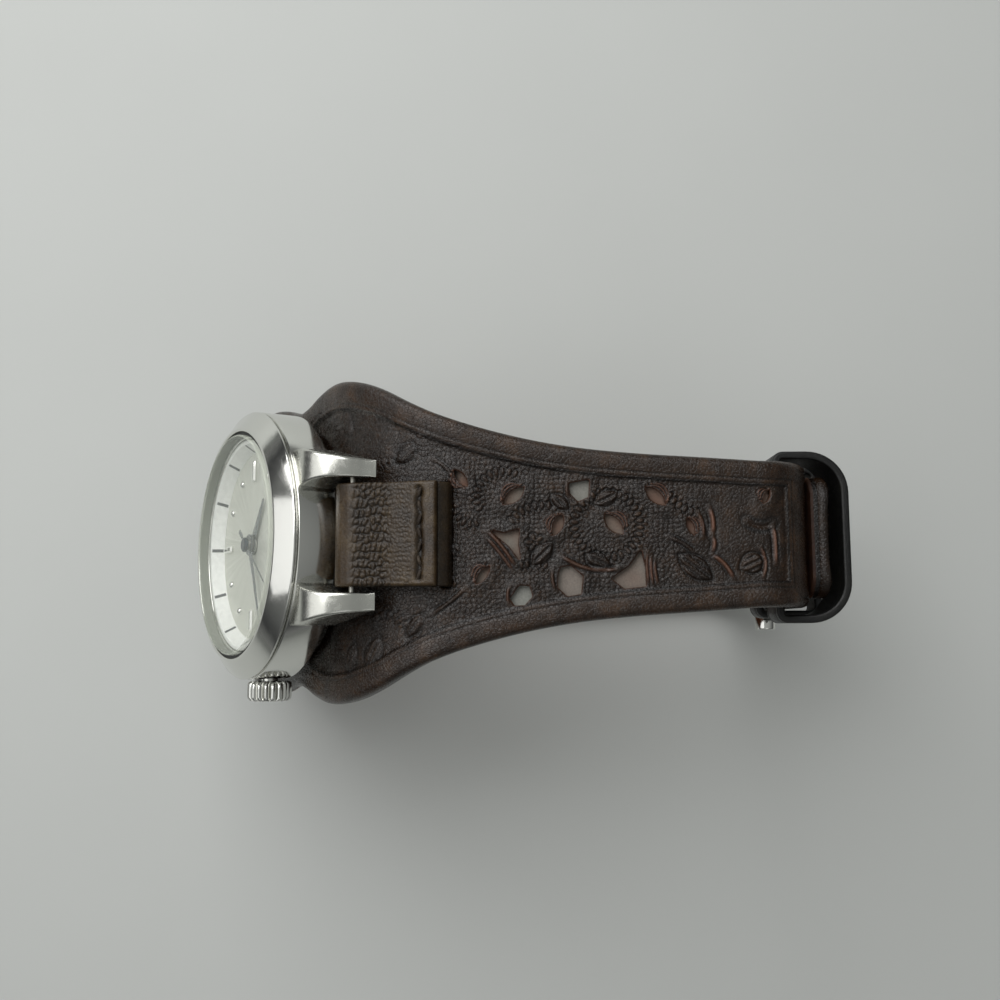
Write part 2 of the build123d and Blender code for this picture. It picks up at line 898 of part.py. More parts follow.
with BuildPart() as case_back:
    with BuildSketch(section):
        with BuildLine():
            Polyline(
                (0, -back_floor),
                (back_pocket, -back_floor),
                (back_pocket, -plug_rise),
                (back_plug, -plug_rise),
                (back_plug, -case_depth),
                (seal_inner, -case_depth),
                (seal_inner, -case_depth - seal_depth),
                (seal_outer, -case_depth - seal_depth),
                (seal_outer, -case_depth),
                (back_radius, -case_depth),
                (back_radius - back_chamfer, -back_depth),
                (0, -back_depth),
                close=True,
            )
        make_face()
    revolve(axis=dial_axis)

with BuildPart() as case_back_gasket:
    with BuildSketch(head.offset(-case_depth)):
        Circle(seal_outer)
        Circle(seal_inner, mode=Mode.SUBTRACT)
    extrude(amount=-seal_depth)

# Dial side
with BuildPart() as chapter_ring:
    with BuildSketch(section):
        with BuildLine():
            Polyline(
                (ring_lower, -dial_depth),
                (ring_upper, ring_rise),
                (ring_outer, ring_rise),
                (ring_outer, -dial_depth),
                close=True,
            )
        make_face()
    revolve(axis=dial_axis)

with BuildPart() as dial:
    with BuildSketch(head.offset(-dial_depth)):
        Circle(dial_radius)
        Circle(dial_hole, mode=Mode.SUBTRACT)
    extrude(amount=-dial_thickness)

with BuildPart() as hour_batons:
    with BuildSketch(head.offset(-dial_depth)):
        with PolarLocations((baton_start + baton_end) / 2, 4):
            Rectangle(baton_end - baton_start, baton_width)
    extrude(amount=baton_height)
    chamfer(
        hour_batons.faces().filter_by(head).group_by(Axis(head.origin, dial_normal))[-1].edges(),
        length=baton_width / 4,
    )

with BuildPart() as hour_domes:
    with BuildSketch(head.offset(-dial_depth)):
        for hour in range(12):
            if hour % 3:
                with Locations(spot(dome_place, 30 * hour)):
                    Circle(dome_radius)
    extrude(amount=dome_radius)
    fillet(
        hour_domes.faces().filter_by(head).group_by(Axis(head.origin, dial_normal))[-1].edges(),
        radius=dome_radius * dome_share,
    )


def hand(level, angle, length, width, boss, bore, tail):
    """Flat hand that tapers from its boss, pointing at a clockwise angle."""
    with BuildPart() as blade:
        with BuildSketch(dial_plane(-level, -angle)):
            with BuildLine():
                Polyline(
                    (-width / 2, -tail),
                    (width / 2, -tail),
                    (width / 2, boss),
                    (width / 2 * hand_tip_share, length),
                    (-width / 2 * hand_tip_share, length),
                    (-width / 2, boss),
                    close=True,
                )
            make_face()
            Circle(boss)
            Circle(bore, mode=Mode.SUBTRACT)
        extrude(amount=hand_thickness)
    return blade


hour_hand = hand(hour_level, hour_angle, hour_length, hour_width, hand_boss, hour_tube, hand_boss)
minute_hand = hand(minute_level, minute_angle, minute_length, minute_width, hand_boss, cannon_radius, hand_boss)
second_blade = hand(
    second_level, second_angle, second_length, second_width, hub_radius / 2, second_arbor, second_tail
)

with BuildPart() as second_hand:
    add(second_blade)
    with BuildSketch(head.offset(-second_level)):
        Circle(hub_radius)
        Circle(second_arbor, mode=Mode.SUBTRACT)
    extrude(amount=second_level + hub_rise)


# Wheels of the movement
def teeth(count, module, phase, centre):
    """Outline of a toothed wheel, with one tooth at the phase angle."""
    tip = module * (count / 2 + tooth_tip_share)
    root = module * (count / 2 - tooth_root_share)
    corners = []
    for tooth in range(count):
        for share, radius in ((-root_share, root), (-tip_share, tip), (tip_share, tip), (root_share, root)):
            corners.append(polar(centre, radius, phase + (tooth + share) * 360 / count))
    return corners


def wheel(centre, layers, shafts, bore):
    """Wheel on its arbor: toothed layers and round shafts, each between two depths."""
    with BuildPart() as turned:
        for count, module, phase, top, bottom in layers:
            with BuildSketch(head.offset(-bottom)):
                with BuildLine():
                    Polyline(*teeth(count, module, phase, centre), close=True)
                make_face()
            extrude(amount=bottom - top)
        for radius, top, bottom in shafts:
            with BuildSketch(head.offset(-bottom)):
                with Locations(centre):
                    Circle(radius)
            extrude(amount=bottom - top)
        if bore:
            with BuildSketch(head.offset(-bridge_bottom)):
                with Locations(centre):
                    Circle(bore)
            extrude(amount=bridge_bottom + bezel_rise, mode=Mode.SUBTRACT)
    return turned


third_spot = spot(third_distance, third_angle)
relay_spot = spot(relay_distance, relay_angle)
rotor_spot = polar(relay_spot, rotor_distance, rotor_turn)
motion_spot = spot(motion_distance, motion_angle)
middle = (0, 0)

cannon_pinion = wheel(
    middle,
    [(cannon_teeth, motion_module, motion_angle, *cannon_span)],
    [(cannon_radius, cannon_top, cannon_bottom)],
    cannon_bore,
)
centre_wheel = wheel(
    middle,
    [(centre_teeth, centre_module, third_angle + 180 / centre_teeth, *centre_span)],
    [],
    cannon_radius,
)
seconds_wheel = wheel(
    middle,
    [
        (pinion_teeth, train_module, third_angle, *second_pinion_span),
        (seconds_teeth, second_module, relay_angle + 180 / seconds_teeth, *seconds_span),
    ],
    [(second_arbor, -hub_rise + fit_gap, arbor_bottom)],
    0,
)
hour_wheel = wheel(
    middle,
    [(hour_teeth, motion_module, motion_angle + 180 / hour_teeth, *hour_span)],
    [(hour_tube, hour_tube_top, hour_span[1])],
    hour_tube_bore,
)
minute_wheel = wheel(
    motion_spot,
    [
        (minute_teeth, motion_module, motion_angle + 180 + 180 / minute_teeth, *minute_span),
        (motion_pinion_teeth, motion_module, motion_angle + 180, *minute_pinion_span),
    ],
    [],
    arbor_radius + 2 * turn_gap,
)
third_wheel = wheel(
    third_spot,
    [
        (third_teeth, train_module, third_angle + 180 + 180 / third_teeth, *third_span),
        (pinion_teeth, centre_module, third_angle + 180, *third_pinion_span),
    ],
    [(arbor_radius, arbor_top, arbor_bottom)],
    0,
)
intermediate_wheel = wheel(
    relay_spot,
    [
        (relay_teeth, rotor_module, rotor_turn + 180 / relay_teeth, *relay_span),
        (pinion_teeth, second_module, relay_angle + 180, *relay_pinion_span),
    ],
    [(arbor_radius, arbor_top, arbor_bottom)],
    0,
)
rotor = wheel(
    rotor_spot,
    [(pinion_teeth, rotor_module, rotor_turn + 180, *rotor_pinion_span)],
    [(arbor_radius, arbor_top, arbor_bottom), (magnet_radius, *magnet_span)],
    0,
)

coil_angle = degrees(atan2(rotor_spot[1], rotor_spot[0]))
coil_plane = dial_plane(-coil_level - stator_thickness / 2, coil_angle)
train_spots = (third_spot, relay_spot, rotor_spot)
clamp_turn = degrees(atan2(battery_place[1], battery_place[0])) + 90
clamp_spots = (polar(battery_place, clamp_post, clamp_turn), polar(battery_place, clamp_post, clamp_turn + 180))
post_spots = [spot(share * plate_radius, angle) for share, angle in post_shares]

with BuildPart() as main_plate:
    with BuildSketch(head.offset(-plate_bottom)):
        Circle(plate_radius)
    extrude(amount=plate_bottom - plate_top)
    with BuildSketch(head.offset(-plate_top)):
        Circle(plate_radius)
        Circle(rim_radius, mode=Mode.SUBTRACT)
    extrude(amount=plate_top - ledge_depth)
    with BuildSketch(head.offset(-plate_bottom)):
        with Locations(*post_spots):
            Circle(post_radius)
    extrude(amount=plate_bottom - bridge_top)
    with BuildSketch(head.offset(-plate_bottom)):
        with Locations(*clamp_spots):
            Circle(post_radius)
    extrude(amount=plate_bottom - battery_bottom)
    with BuildSketch(head.offset(-plate_top)):
        with Locations(motion_spot):
            Circle(arbor_radius + turn_gap)
    extrude(amount=motion_post_rise)
    with BuildSketch(head.offset(-plate_bottom)):
        Circle(cannon_radius + turn_gap)
        with Locations(*train_spots):
            Circle(arbor_radius + turn_gap)
        with Locations(((clutch_start + clutch_end) / 2, 0)):
            Rectangle(clutch_end - clutch_start + 4 * fit_gap, 2 * clutch_radius + 4 * fit_gap)
    extrude(amount=plate_bottom - plate_top, mode=Mode.SUBTRACT)
    with BuildSketch(head.offset(-plate_bottom)):
        with Locations(battery_place):
            Circle(battery_radius + fit_gap)
    extrude(amount=plate_bottom - battery_top + fit_gap, mode=Mode.SUBTRACT)
    with BuildSketch(head.offset(-plate_bottom)):
        with Locations(((plate_radius + stem_start) / 2, 0)):
            Rectangle(plate_radius - stem_start + 4 * fit_gap, 2 * stem_radius + 2 * fit_gap)
    extrude(amount=plate_bottom - crown_depth + stem_radius + fit_gap, mode=Mode.SUBTRACT)
    with BuildSketch(dial_plane(-plate_bottom, coil_angle)):
        with Locations((coil_place, 0)):
            Rectangle(2 * coil_radius + 2 * fit_gap, 2 * coil_half + 2 * fit_gap)
    extrude(amount=plate_bottom - coil_level - stator_thickness / 2 + coil_radius + fit_gap, mode=Mode.SUBTRACT)
    with BuildSketch(head.offset(-bridge_top)):
        with Locations(*post_spots):
            Circle(screw_radius)
    extrude(amount=screw_length, mode=Mode.SUBTRACT)
    with BuildSketch(head.offset(-battery_bottom)):
        with Locations(*clamp_spots):
            Circle(screw_radius)
    extrude(amount=screw_length, mode=Mode.SUBTRACT)

with BuildPart() as train_bridge:
    with BuildSketch(head.offset(-bridge_bottom)):
        Circle(bridge_radius)
        with Locations(battery_place):
            Circle(battery_radius + 2 * fit_gap, mode=Mode.SUBTRACT)
        with Locations(*clamp_spots):
            Circle(post_radius + fit_gap, mode=Mode.SUBTRACT)
        Circle(second_arbor + turn_gap, mode=Mode.SUBTRACT)
        with Locations(*train_spots):
            Circle(arbor_radius + turn_gap, mode=Mode.SUBTRACT)
        with Locations(*post_spots):
            Circle(screw_radius, mode=Mode.SUBTRACT)
    extrude(amount=bridge_bottom - bridge_top)

with BuildPart() as stator:
    with BuildSketch(coil_plane):
        with Locations(((stator_start + stator_end) / 2, 0)):
            Rectangle(stator_end - stator_start, 2 * core_half)
        for edge in (core_half - core_width / 2, core_width / 2 - core_half):
            with Locations(((stator_end + coil_place) / 2, edge)):
                Rectangle(coil_place - stator_end + core_width, core_width)
        with Locations((hypot(*rotor_spot), 0)):
            Circle(stator_hole, mode=Mode.SUBTRACT)
    extrude(amount=stator_thickness)

with BuildPart() as coil_core:
    with BuildSketch(coil_plane.offset(-stator_thickness)):
        with Locations((coil_place, 0)):
            Rectangle(core_width, 2 * core_half)
    extrude(amount=stator_thickness)

with BuildPart() as coil_winding:
    with BuildSketch(
        Plane(
            origin=coil_plane.from_local_coords((coil_place, -coil_half, 0)),
            x_dir=dial_normal,
            z_dir=coil_plane.y_dir,
        )
    ):
        Circle(coil_radius)
        with Locations((-stator_thickness / 2, 0)):
            Rectangle(stator_thickness, core_width, mode=Mode.SUBTRACT)
    extrude(amount=2 * coil_half)

with BuildPart() as circuit_board:
    with BuildSketch(head.offset(-bridge_bottom)):
        Circle(board_radius)
        with Locations((0, -board_radius - board_edge)):
            Rectangle(2 * board_radius, 2 * board_radius, mode=Mode.SUBTRACT)
        with Locations(*post_spots):
            Circle(screw_head + fit_gap, mode=Mode.SUBTRACT)
        Circle(post_radius, mode=Mode.SUBTRACT)
    extrude(amount=-board_thickness)

with BuildPart() as battery:
    with BuildSketch(head.offset(-battery_bottom)):
        with Locations(battery_place):
            Circle(battery_radius)
    extrude(amount=battery_bottom - battery_top)
    chamfer(battery.edges().group_by(Axis(head.origin, dial_normal))[0], length=case_chamfer)

with BuildPart() as battery_clamp:
    with BuildSketch(dial_plane(-battery_bottom, clamp_turn)):
        with Locations((0, -hypot(*battery_place))):
            SlotOverall(2 * (clamp_post + clamp_width / 2), clamp_width)
    extrude(amount=-clamp_thickness)
    with BuildSketch(head.offset(-battery_bottom)):
        with Locations(*clamp_spots):
            Circle(screw_radius)
    extrude(amount=-clamp_thickness, mode=Mode.SUBTRACT)

with BuildPart() as movement_screws:
    for base, spots in ((bridge_bottom, post_spots), (battery_bottom + clamp_thickness, clamp_spots)):
        with BuildSketch(head.offset(-base)):
            with Locations(*spots):
                Circle(screw_head)
        extrude(amount=-screw_head_height)
        with BuildSketch(head.offset(-base)):
            with Locations(*spots):
                Circle(screw_radius)
        extrude(amount=screw_length)
        with BuildSketch(head.offset(-base - screw_head_height)):
            with Locations(*spots):
                Rectangle(2 * screw_head, screw_head / 4)
        extrude(amount=screw_head_height / 2, mode=Mode.SUBTRACT)

with BuildPart() as movement_holder:
    with BuildSketch(head.offset(-ledge_depth)):
        Circle(holder_radius)
        Circle(plate_radius + fit_gap, mode=Mode.SUBTRACT)
    extrude(amount=-holder_height)
    with BuildSketch(profile):
        with Locations((0, -crown_depth)):
            Circle(tube_radius + fit_gap)
    extrude(amount=case_radius, mode=Mode.SUBTRACT)

# Crown, stem and sliding pinion
crown_section = Plane(origin=crown_axis.position, x_dir=(1, 0, 0), z_dir=section.z_dir)
crown_face = Plane(origin=crown_axis.position, x_dir=dial_up, z_dir=(1, 0, 0))


def round_part(corners):
    """Solid of revolution about the crown's axis, from places along it and radii."""
    with BuildPart() as turned:
        with BuildSketch(crown_section):
            with BuildLine():
                Polyline(*corners, close=True)
            make_face()
        revolve(axis=crown_axis)
    return turned


stem = round_part([(stem_start, 0), (stem_start, stem_radius), (stem_end, stem_radius), (stem_end, 0)])
clutch = round_part(
    [
        (clutch_start, stem_radius + turn_gap),
        (clutch_start, clutch_radius),
        (clutch_end, clutch_radius),
        (clutch_end, stem_radius + turn_gap),
    ]
)
crown_tube = round_part(
    [(tube_start, tube_bore), (tube_start, tube_radius), (tube_end, tube_radius), (tube_end, tube_bore)]
)
crown_gasket = round_part(
    [
        (crown_start + fit_gap, tube_radius + turn_gap),
        (crown_start + fit_gap, recess_radius),
        (tube_end - fit_gap, recess_radius),
        (tube_end - fit_gap, tube_radius + turn_gap),
    ]
)
crown_body = round_part(
    [
        (crown_start, recess_radius),
        (crown_start, crown_radius - crown_edge),
        (crown_start + crown_edge, crown_radius),
        (crown_end - crown_edge, crown_radius),
        (crown_end, crown_radius - crown_edge),
        (crown_end, 0),
        (stem_end, 0),
        (stem_end, stem_radius),
        (recess_end, stem_radius),
        (recess_end, recess_radius),
    ]
)

with BuildPart() as crown:
    add(crown_body)
    with BuildSketch(crown_face.offset(crown_start)):
        with PolarLocations(crown_radius, flute_count):
            Circle(flute_radius)
    extrude(amount=crown_end - crown_start - crown_edge / 2, mode=Mode.SUBTRACT)

with BuildPart() as clutch_pinion:
    add(clutch)
    with BuildSketch(crown_face.offset(clutch_start)):
        with PolarLocations(clutch_radius, clutch_teeth):
            Rectangle(2 * flute_radius, flute_radius)
    extrude(amount=(clutch_end - clutch_start) / 3, mode=Mode.SUBTRACT)


def bar_barrel(place):
    """Hollow barrel of a spring bar at a height on the dial."""
    with BuildPart() as barrel:
        with BuildSketch(profile):
            with Locations((place, -bar_depth)):
                Circle(bar_radius)
        extrude(amount=bar_half, both=True)
        with BuildSketch(profile.offset(bar_bore_end)):
            with Locations((place, -bar_depth)):
                Circle(tip_radius + turn_gap)
        extrude(amount=bar_half - bar_bore_end, mode=Mode.SUBTRACT)
        with BuildSketch(profile.offset(-bar_half)):
            with Locations((place, -bar_depth)):
                Circle(tip_radius + turn_gap)
        extrude(amount=bar_half - bar_bore_end, mode=Mode.SUBTRACT)
    return barrel


def bar_tip(place, direction):
    """Sprung tip of a spring bar that reaches into a lug."""
    with BuildPart() as tip:
        with BuildSketch(profile.offset(direction * tip_inner)):
            with Locations((place, -bar_depth)):
                Circle(tip_radius)
        extrude(amount=direction * (tip_outer - tip_inner))
    return tip


spring_bar_12 = bar_barrel(bar_place)
spring_bar_6 = bar_barrel(-bar_place)
bar_tips = {
    f"bar_tip_{name}_{end}": bar_tip(place, direction)
    for name, place in (("12", bar_place), ("6", -bar_place))
    for end, direction in (("right", 1), ("left", -1))
}

# Buckle
frame_run = (frame_bar_y - buckle_y, frame_bar_height - buckle_height)
frame_length = hypot(*frame_run)
frame_plane = Plane(
    origin=(0, buckle_y, buckle_height),
    x_dir=(1, 0, 0),
    z_dir=(0, -frame_run[1] / frame_length, frame_run[0] / frame_length),
)

with BuildPart() as buckle_frame:
    with BuildSketch(frame_plane):
        with Locations((0, (frame_length + frame_rod / 2) / 2)):
            Rectangle(2 * frame_half, frame_length + frame_rod / 2)
    extrude(amount=frame_thickness / 2, both=True)
    across_frame = Axis(frame_plane.origin, frame_plane.z_dir)
    fillet(buckle_frame.edges().filter_by(across_frame).group_by(Axis.Z)[0], radius=frame_corner)
    with BuildSketch(Plane.YZ):
        with Locations((buckle_y, buckle_height)):
            Circle(frame_eye)
    extrude(amount=frame_half, both=True)
    with BuildSketch(frame_plane.offset(-frame_eye)):
        with Locations((0, (frame_length - frame_rod / 2 - frame_eye) / 2)):
            Rectangle(2 * (frame_half - frame_rod), frame_length - frame_rod / 2 + frame_eye)
    extrude(amount=2 * frame_eye, mode=Mode.SUBTRACT)
    with BuildSketch(Plane.YZ):
        with Locations((buckle_y, buckle_height)):
            Circle(buckle_eye)
    extrude(amount=frame_half, both=True, mode=Mode.SUBTRACT)

with BuildPart() as buckle_bar:
    with BuildSketch(Plane.YZ):
        with Locations((buckle_y, buckle_height)):
            Circle(buckle_bar_radius)
    extrude(amount=buckle_bar_half, both=True)

with BuildPart() as buckle_prong:
    with BuildSketch(Plane.YZ):
        with BuildLine() as route:
            Polyline(
                (buckle_y, buckle_height - buckle_eye),
                (buckle_y, prong_hole_height + prong_rise),
                (tail_y, prong_hole_height - prong_fall),
                (frame_bar_y + frame_thickness / 2 + prong_thickness, frame_bar_height - frame_rod / 2),
            )
        trace(route.line, line_width=prong_thickness)
        with Locations((buckle_y, buckle_height)):
            Circle(buckle_eye + prong_thickness / 2)
            Circle(buckle_eye, mode=Mode.SUBTRACT)
    extrude(amount=prong_half, both=True)


def keeper(start, end, half, inner_y, outer_y, inner_corner, outer_corner):
    """Leather loop round the strap and the tail."""
    with BuildPart() as loop:
        with BuildSketch(Plane.XY.offset(start)) as ring:
            with Locations((0, (inner_y + outer_y) / 2)):
                Rectangle(2 * half, outer_y - inner_y)
            fillet(ring.vertices().group_by(Axis.Y)[0], radius=inner_corner)
            fillet(ring.vertices().group_by(Axis.Y)[-1], radius=outer_corner)
            offset(amount=-keeper_wall, mode=Mode.SUBTRACT)
        extrude(amount=end - start)
    return loop


keeper_fixed = keeper(
    fixed_keeper_start,
    fixed_keeper_end,
    end_half + 2 * fit_gap + keeper_wall,
    buckle_y - nose_radius - fit_gap - keeper_wall,
    tail_y + fit_gap + keeper_wall,
    keeper_round,
    keeper_round,
)
keeper_free = keeper(
    free_keeper_start,
    free_keeper_end,
    free_keeper_half,
    back_y - strap_thickness - free_keeper_inner_gap,
    half_length,
    keeper_round,
    keeper_bow,
)

pieces = {
    "case_middle": case_middle,
    "bezel": bezel,
    "crystal": crystal,
    "crystal_gasket": crystal_gasket,
    "case_back": case_back,
    "case_back_gasket": case_back_gasket,
    "chapter_ring": chapter_ring,
    "dial": dial,
    "hour_batons": hour_batons,
    "hour_domes": hour_domes,
    "hour_hand": hour_hand,
    "minute_hand": minute_hand,
    "second_hand": second_hand,
    "cannon_pinion": cannon_pinion,
    "centre_wheel": centre_wheel,
    "seconds_wheel": seconds_wheel,
    "hour_wheel": hour_wheel,
    "minute_wheel": minute_wheel,
    "third_wheel": third_wheel,
    "intermediate_wheel": intermediate_wheel,
    "rotor": rotor,
    "main_plate": main_plate,
    "train_bridge": train_bridge,
    "stator": stator,
    "coil_core": coil_core,
    "coil_winding": coil_winding,
    "circuit_board": circuit_board,
    "battery": battery,
    "battery_clamp": battery_clamp,
    "movement_screws": movement_screws,
    "movement_holder": movement_holder,
    "stem": stem,
    "clutch_pinion": clutch_pinion,
    "crown_tube": crown_tube,
    "crown_gasket": crown_gasket,
    "crown": crown,
    "spring_bar_12": spring_bar_12,
    "spring_bar_6": spring_bar_6,
    "tab_12": tab_12,
    "tab_6": tab_6,
    "cuff_upper": cuff_upper,
    "cuff_underlay": cuff_underlay,
    "cuff_lining": cuff_lining,
    "buckle_frame": buckle_frame,
    "buckle_bar": buckle_bar,
    "buckle_prong": buckle_prong,
    "keeper_fixed": keeper_fixed,
    "keeper_free": keeper_free,
}
pieces.update(bar_tips)

for name, piece in pieces.items():
    piece.part.label = name
    export_step(piece.part, f"parts/{name}.step")
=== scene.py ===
"""Cuff watch: the looks of a round steel watch on a tooled and pierced leather cuff.

Lengths in the tables are in millimetres and turn to metres where a piece is made. The side view's
places are across the loop (Y) and up (Z), and X is the width of the strap.
"""

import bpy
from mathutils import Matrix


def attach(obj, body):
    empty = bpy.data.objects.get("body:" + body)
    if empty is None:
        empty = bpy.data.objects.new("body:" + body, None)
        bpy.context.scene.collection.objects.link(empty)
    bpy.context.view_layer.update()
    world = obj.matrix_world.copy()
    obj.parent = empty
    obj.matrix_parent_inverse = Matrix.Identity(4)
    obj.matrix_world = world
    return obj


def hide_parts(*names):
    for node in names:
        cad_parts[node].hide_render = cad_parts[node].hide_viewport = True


bl_info = {
    "name": "Cuff watch",
    "version": (1, 0, 0),
    "blender": (4, 5, 0),
    "location": "View3D > Sidebar > Cuff watch",
    "description": "Builds the leather, steel and glass of a cuff watch round its packed frame",
    "category": "Object",
}

from collections import namedtuple
from functools import partial
from math import atan2, cos, pi, radians, sin

import bmesh
import bpy
import numpy as np
from bpy.props import FloatProperty, FloatVectorProperty, IntProperty, PointerProperty
from mathutils import Matrix, Vector

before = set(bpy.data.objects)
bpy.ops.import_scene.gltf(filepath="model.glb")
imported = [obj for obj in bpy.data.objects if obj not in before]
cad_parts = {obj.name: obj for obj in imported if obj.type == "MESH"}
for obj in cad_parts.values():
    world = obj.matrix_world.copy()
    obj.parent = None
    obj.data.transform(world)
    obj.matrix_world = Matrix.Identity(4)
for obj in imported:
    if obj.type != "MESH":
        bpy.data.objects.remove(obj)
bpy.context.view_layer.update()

MM = 0.001

# The loop, as the frame has it
LEAN = radians(33.0)
HEAD_Y, HEAD_Z = -34.7465, 34.307
SEAT_DEPTH = 7.4
TOP_BEND, FRONT_BEND, BACK_BEND = 20.0, 12.0, 7.0
FLAT_ABOVE, FLAT_BELOW = 12.0, 14.0
TOP_STRAIGHT, FOOT_STRAIGHT = 36.73, 57.6
TOP_DROP, NOSE_REACH, FOLD_RISE = 13.55, 1.9, 8.7
NOSE_RADIUS = 1.9
STEP_RADIUS, STEP_TURN = 5.883, radians(39.6)
FOOT_RISE, TAIL_RISE = 9.5, 20.8
LINING_STOP = 93.2
UPPER_DEPTH, SUEDE_DEPTH, STRAP_DEPTH = 1.2, 1.6, 2.6
CUFF_HALF, END_HALF, TAIL_HALF, TIP_ROUND = 20.9, 8.9, 7.7, 3.0
BUCKLE_Y, BUCKLE_Z = 36.6, 27.0
HOLE_HEIGHTS = (13.75, 26.75, 33.25, 39.75)
PRONG_HEIGHT, PRONG_HOLE = 20.25, 3.4
HOLE_RADIUS = 1.0

# Half width of the cuff by distance from the case
WIDTH_PLACES = (0.0, 3.1, 6.5, 11.0, 15.5, 19.0, 22.0, 25.0, 28.5, 32.0, 36.0, 40.0, 46.0, 54.0, 61.5, 68.7)
HALF_WIDTHS = (
    *(18.9, 19.4, 20.3, 20.9, 20.5, 19.6, 18.4, 16.9),
    *(15.3, 14.05, 12.85, 11.85, 10.75, 9.9, 9.4, 8.9),
)

# Cut leaves: distance from the case, place across, half length, half width, direction along and across,
# and the side that its carved folds lie on
LEAVES = (
    (32.3, -6.9, 1.35, 0.52, 0.62, 0.78, 1),
    (38.75, -4.7, 1.65, 0.75, 0.78, -0.62, -1),
    (44.1, -1.1, 1.4, 0.62, 0.4, -0.92, -1),
    (50.9, -1.2, 1.65, 0.78, 0.66, 0.75, -1),
    (35.0, 4.9, 1.4, 0.5, 0.6, -0.8, -1),
    (56.0, -4.6, 1.65, 0.72, 0.72, 0.69, -1),
    (60.2, -0.9, 1.15, 0.42, 0.35, 0.94, -1),
    (69.5, -4.45, 0.95, 0.42, 0.5, -0.87, -1),
)
# Cut corners: outlines as distance and place across, and how far a painted sheen pales the suede in them
CORNERS = (
    (0.15, ((36.2, -0.35), (37.6, 0.0), (39.3, -0.5), (39.15, 1.2), (39.4, 2.9), (38.3, 1.4))),
    (0.3, ((50.7, 5.4), (52.8, 3.95), (54.1, 2.2), (54.5, 4.2), (54.55, 6.25), (52.1, 6.5))),
    (0.85, ((45.65, -6.1), (47.85, -6.5), (47.75, -4.6), (46.6, -4.1), (45.75, -5.0))),
    (1.0, ((38.4, 7.75), (39.5, 6.3), (40.55, 6.4), (40.85, 7.5), (40.0, 8.45), (38.9, 8.5))),
    (
        0.55,
        ((44.5, 4.15), (45.6, 3.95), (46.95, 5.15), (46.75, 7.15), (45.25, 7.4), (44.15, 6.4), (44.25, 4.9)),
    ),
)
# How far a cut corner's outline lies outside the places above
CORNER_GROWTH = 0.12
# Carved leaves with no cut: centre, half length, half width, direction
CARVED_LEAVES = (
    (60.7, 4.1, 2.3, 1.2, 0.8, 0.6),
    (67.5, 3.6, 1.5, 1.1, 0.9, -0.42),
    (25.2, -10.2, 1.6, 1.0, 0.75, -0.66),
    (20.5, 14.2, 2.0, 1.1, 0.5, -0.86),
    (16.5, 15.0, 1.9, 0.9, 0.35, -0.94),
    (15.0, -15.0, 1.8, 1.0, 0.4, 0.92),
    (26.5, 11.0, 1.5, 0.8, 0.6, -0.8),
    (49.0, 3.3, 1.6, 0.9, 0.9, 0.42),
    (50.0, -4.3, 1.5, 0.8, 0.9, -0.42),
    (44.4, -3.9, 1.2, 0.7, 0.75, 0.66),
    (42.2, 2.4, 1.7, 0.9, 0.7, -0.7),
)
# Carved lines: height above the ground, half width, how far worn bare, then places along and across
CARVED_LINES = (
    (0.24, 0.17, 0.9, ((62.4, -3.2), (63.2, -1.4), (62.7, 0.2))),
    (0.22, 0.15, 0.8, ((62.7, 0.2), (63.3, 1.2), (62.6, 2.4))),
    (0.2, 0.14, 0.4, ((61.0, -2.6), (61.9, -1.2), (61.6, 0.6))),
    (0.16, 0.14, 0.0, ((57.4, 0.4), (59.4, 1.0), (60.6, 2.4))),
    (0.16, 0.14, 0.5, ((68.4, 1.6), (69.7, 3.4), (68.6, 5.6))),
    (-0.35, 0.24, 0.0, ((66.9, -1.5), (68.6, -0.3), (70.4, -1.2))),
    (0.2, 0.17, 0.8, ((70.3, -0.9), (70.6, 1.2), (70.5, 3.8))),
    (0.14, 0.14, 0.0, ((28.6, -9.4), (30.4, -8.6), (31.2, -7.2))),
    (0.14, 0.14, 0.0, ((28.6, 9.6), (31.0, 8.4), (33.0, 6.4))),
    (0.2, 0.12, 0.5, ((54.85, 2.3), (54.7, 4.2), (54.95, 6.2))),
    (0.2, 0.12, 0.6, ((55.25, 2.6), (55.15, 4.3), (55.5, 6.2))),
    (0.18, 0.12, 0.4, ((55.7, 3.1), (55.65, 4.6), (56.1, 6.3))),
    (0.22, 0.13, 0.5, ((35.6, -0.3), (37.4, 1.2), (38.9, 3.9))),
    (0.22, 0.13, 0.4, ((35.5, 0.4), (37.0, 2.0), (38.7, 4.5))),
    (0.2, 0.12, 0.2, ((43.4, 4.2), (43.2, 5.6), (43.8, 7.0))),
    (0.2, 0.12, 0.4, ((38.3, 6.1), (37.7, 7.3), (38.2, 8.6))),
    (0.2, 0.12, 0.2, ((45.4, -6.4), (45.0, -5.4), (45.5, -4.2))),
    (0.24, 0.15, 0.7, ((62.6, 2.6), (64.4, 3.4), (65.2, 5.6))),
    (0.2, 0.15, 0.3, ((44.4, 2.6), (47.6, 5.0), (51.4, 4.2))),
)
# Chains of stamped loops: centre of the arc, radius, first and last angle in degrees, length of a loop
CHAINS = (
    (50.1, -1.05, 3.95, 60.0, 418.0, 0.82),
    (37.6, -4.4, 3.3, 150.0, 302.0, 0.82),
    (42.4, 1.5, 5.0, 214.0, 292.0, 0.85),
    (41.3, 1.0, 0.62, 0.0, 360.0, 0.78),
    (41.2, 10.9, 7.3, 255.0, 284.0, 0.8),
    (33.2, 4.0, 2.6, 120.0, 250.0, 0.85),
    (62.0, -7.6, 5.2, 95.0, 150.0, 0.9),
    (33.6, -3.2, 1.9, 60.0, 200.0, 0.8),
    (23.0, -13.4, 4.2, 10.0, 110.0, 0.95),
    (22.4, 14.0, 4.4, 245.0, 345.0, 0.95),
)

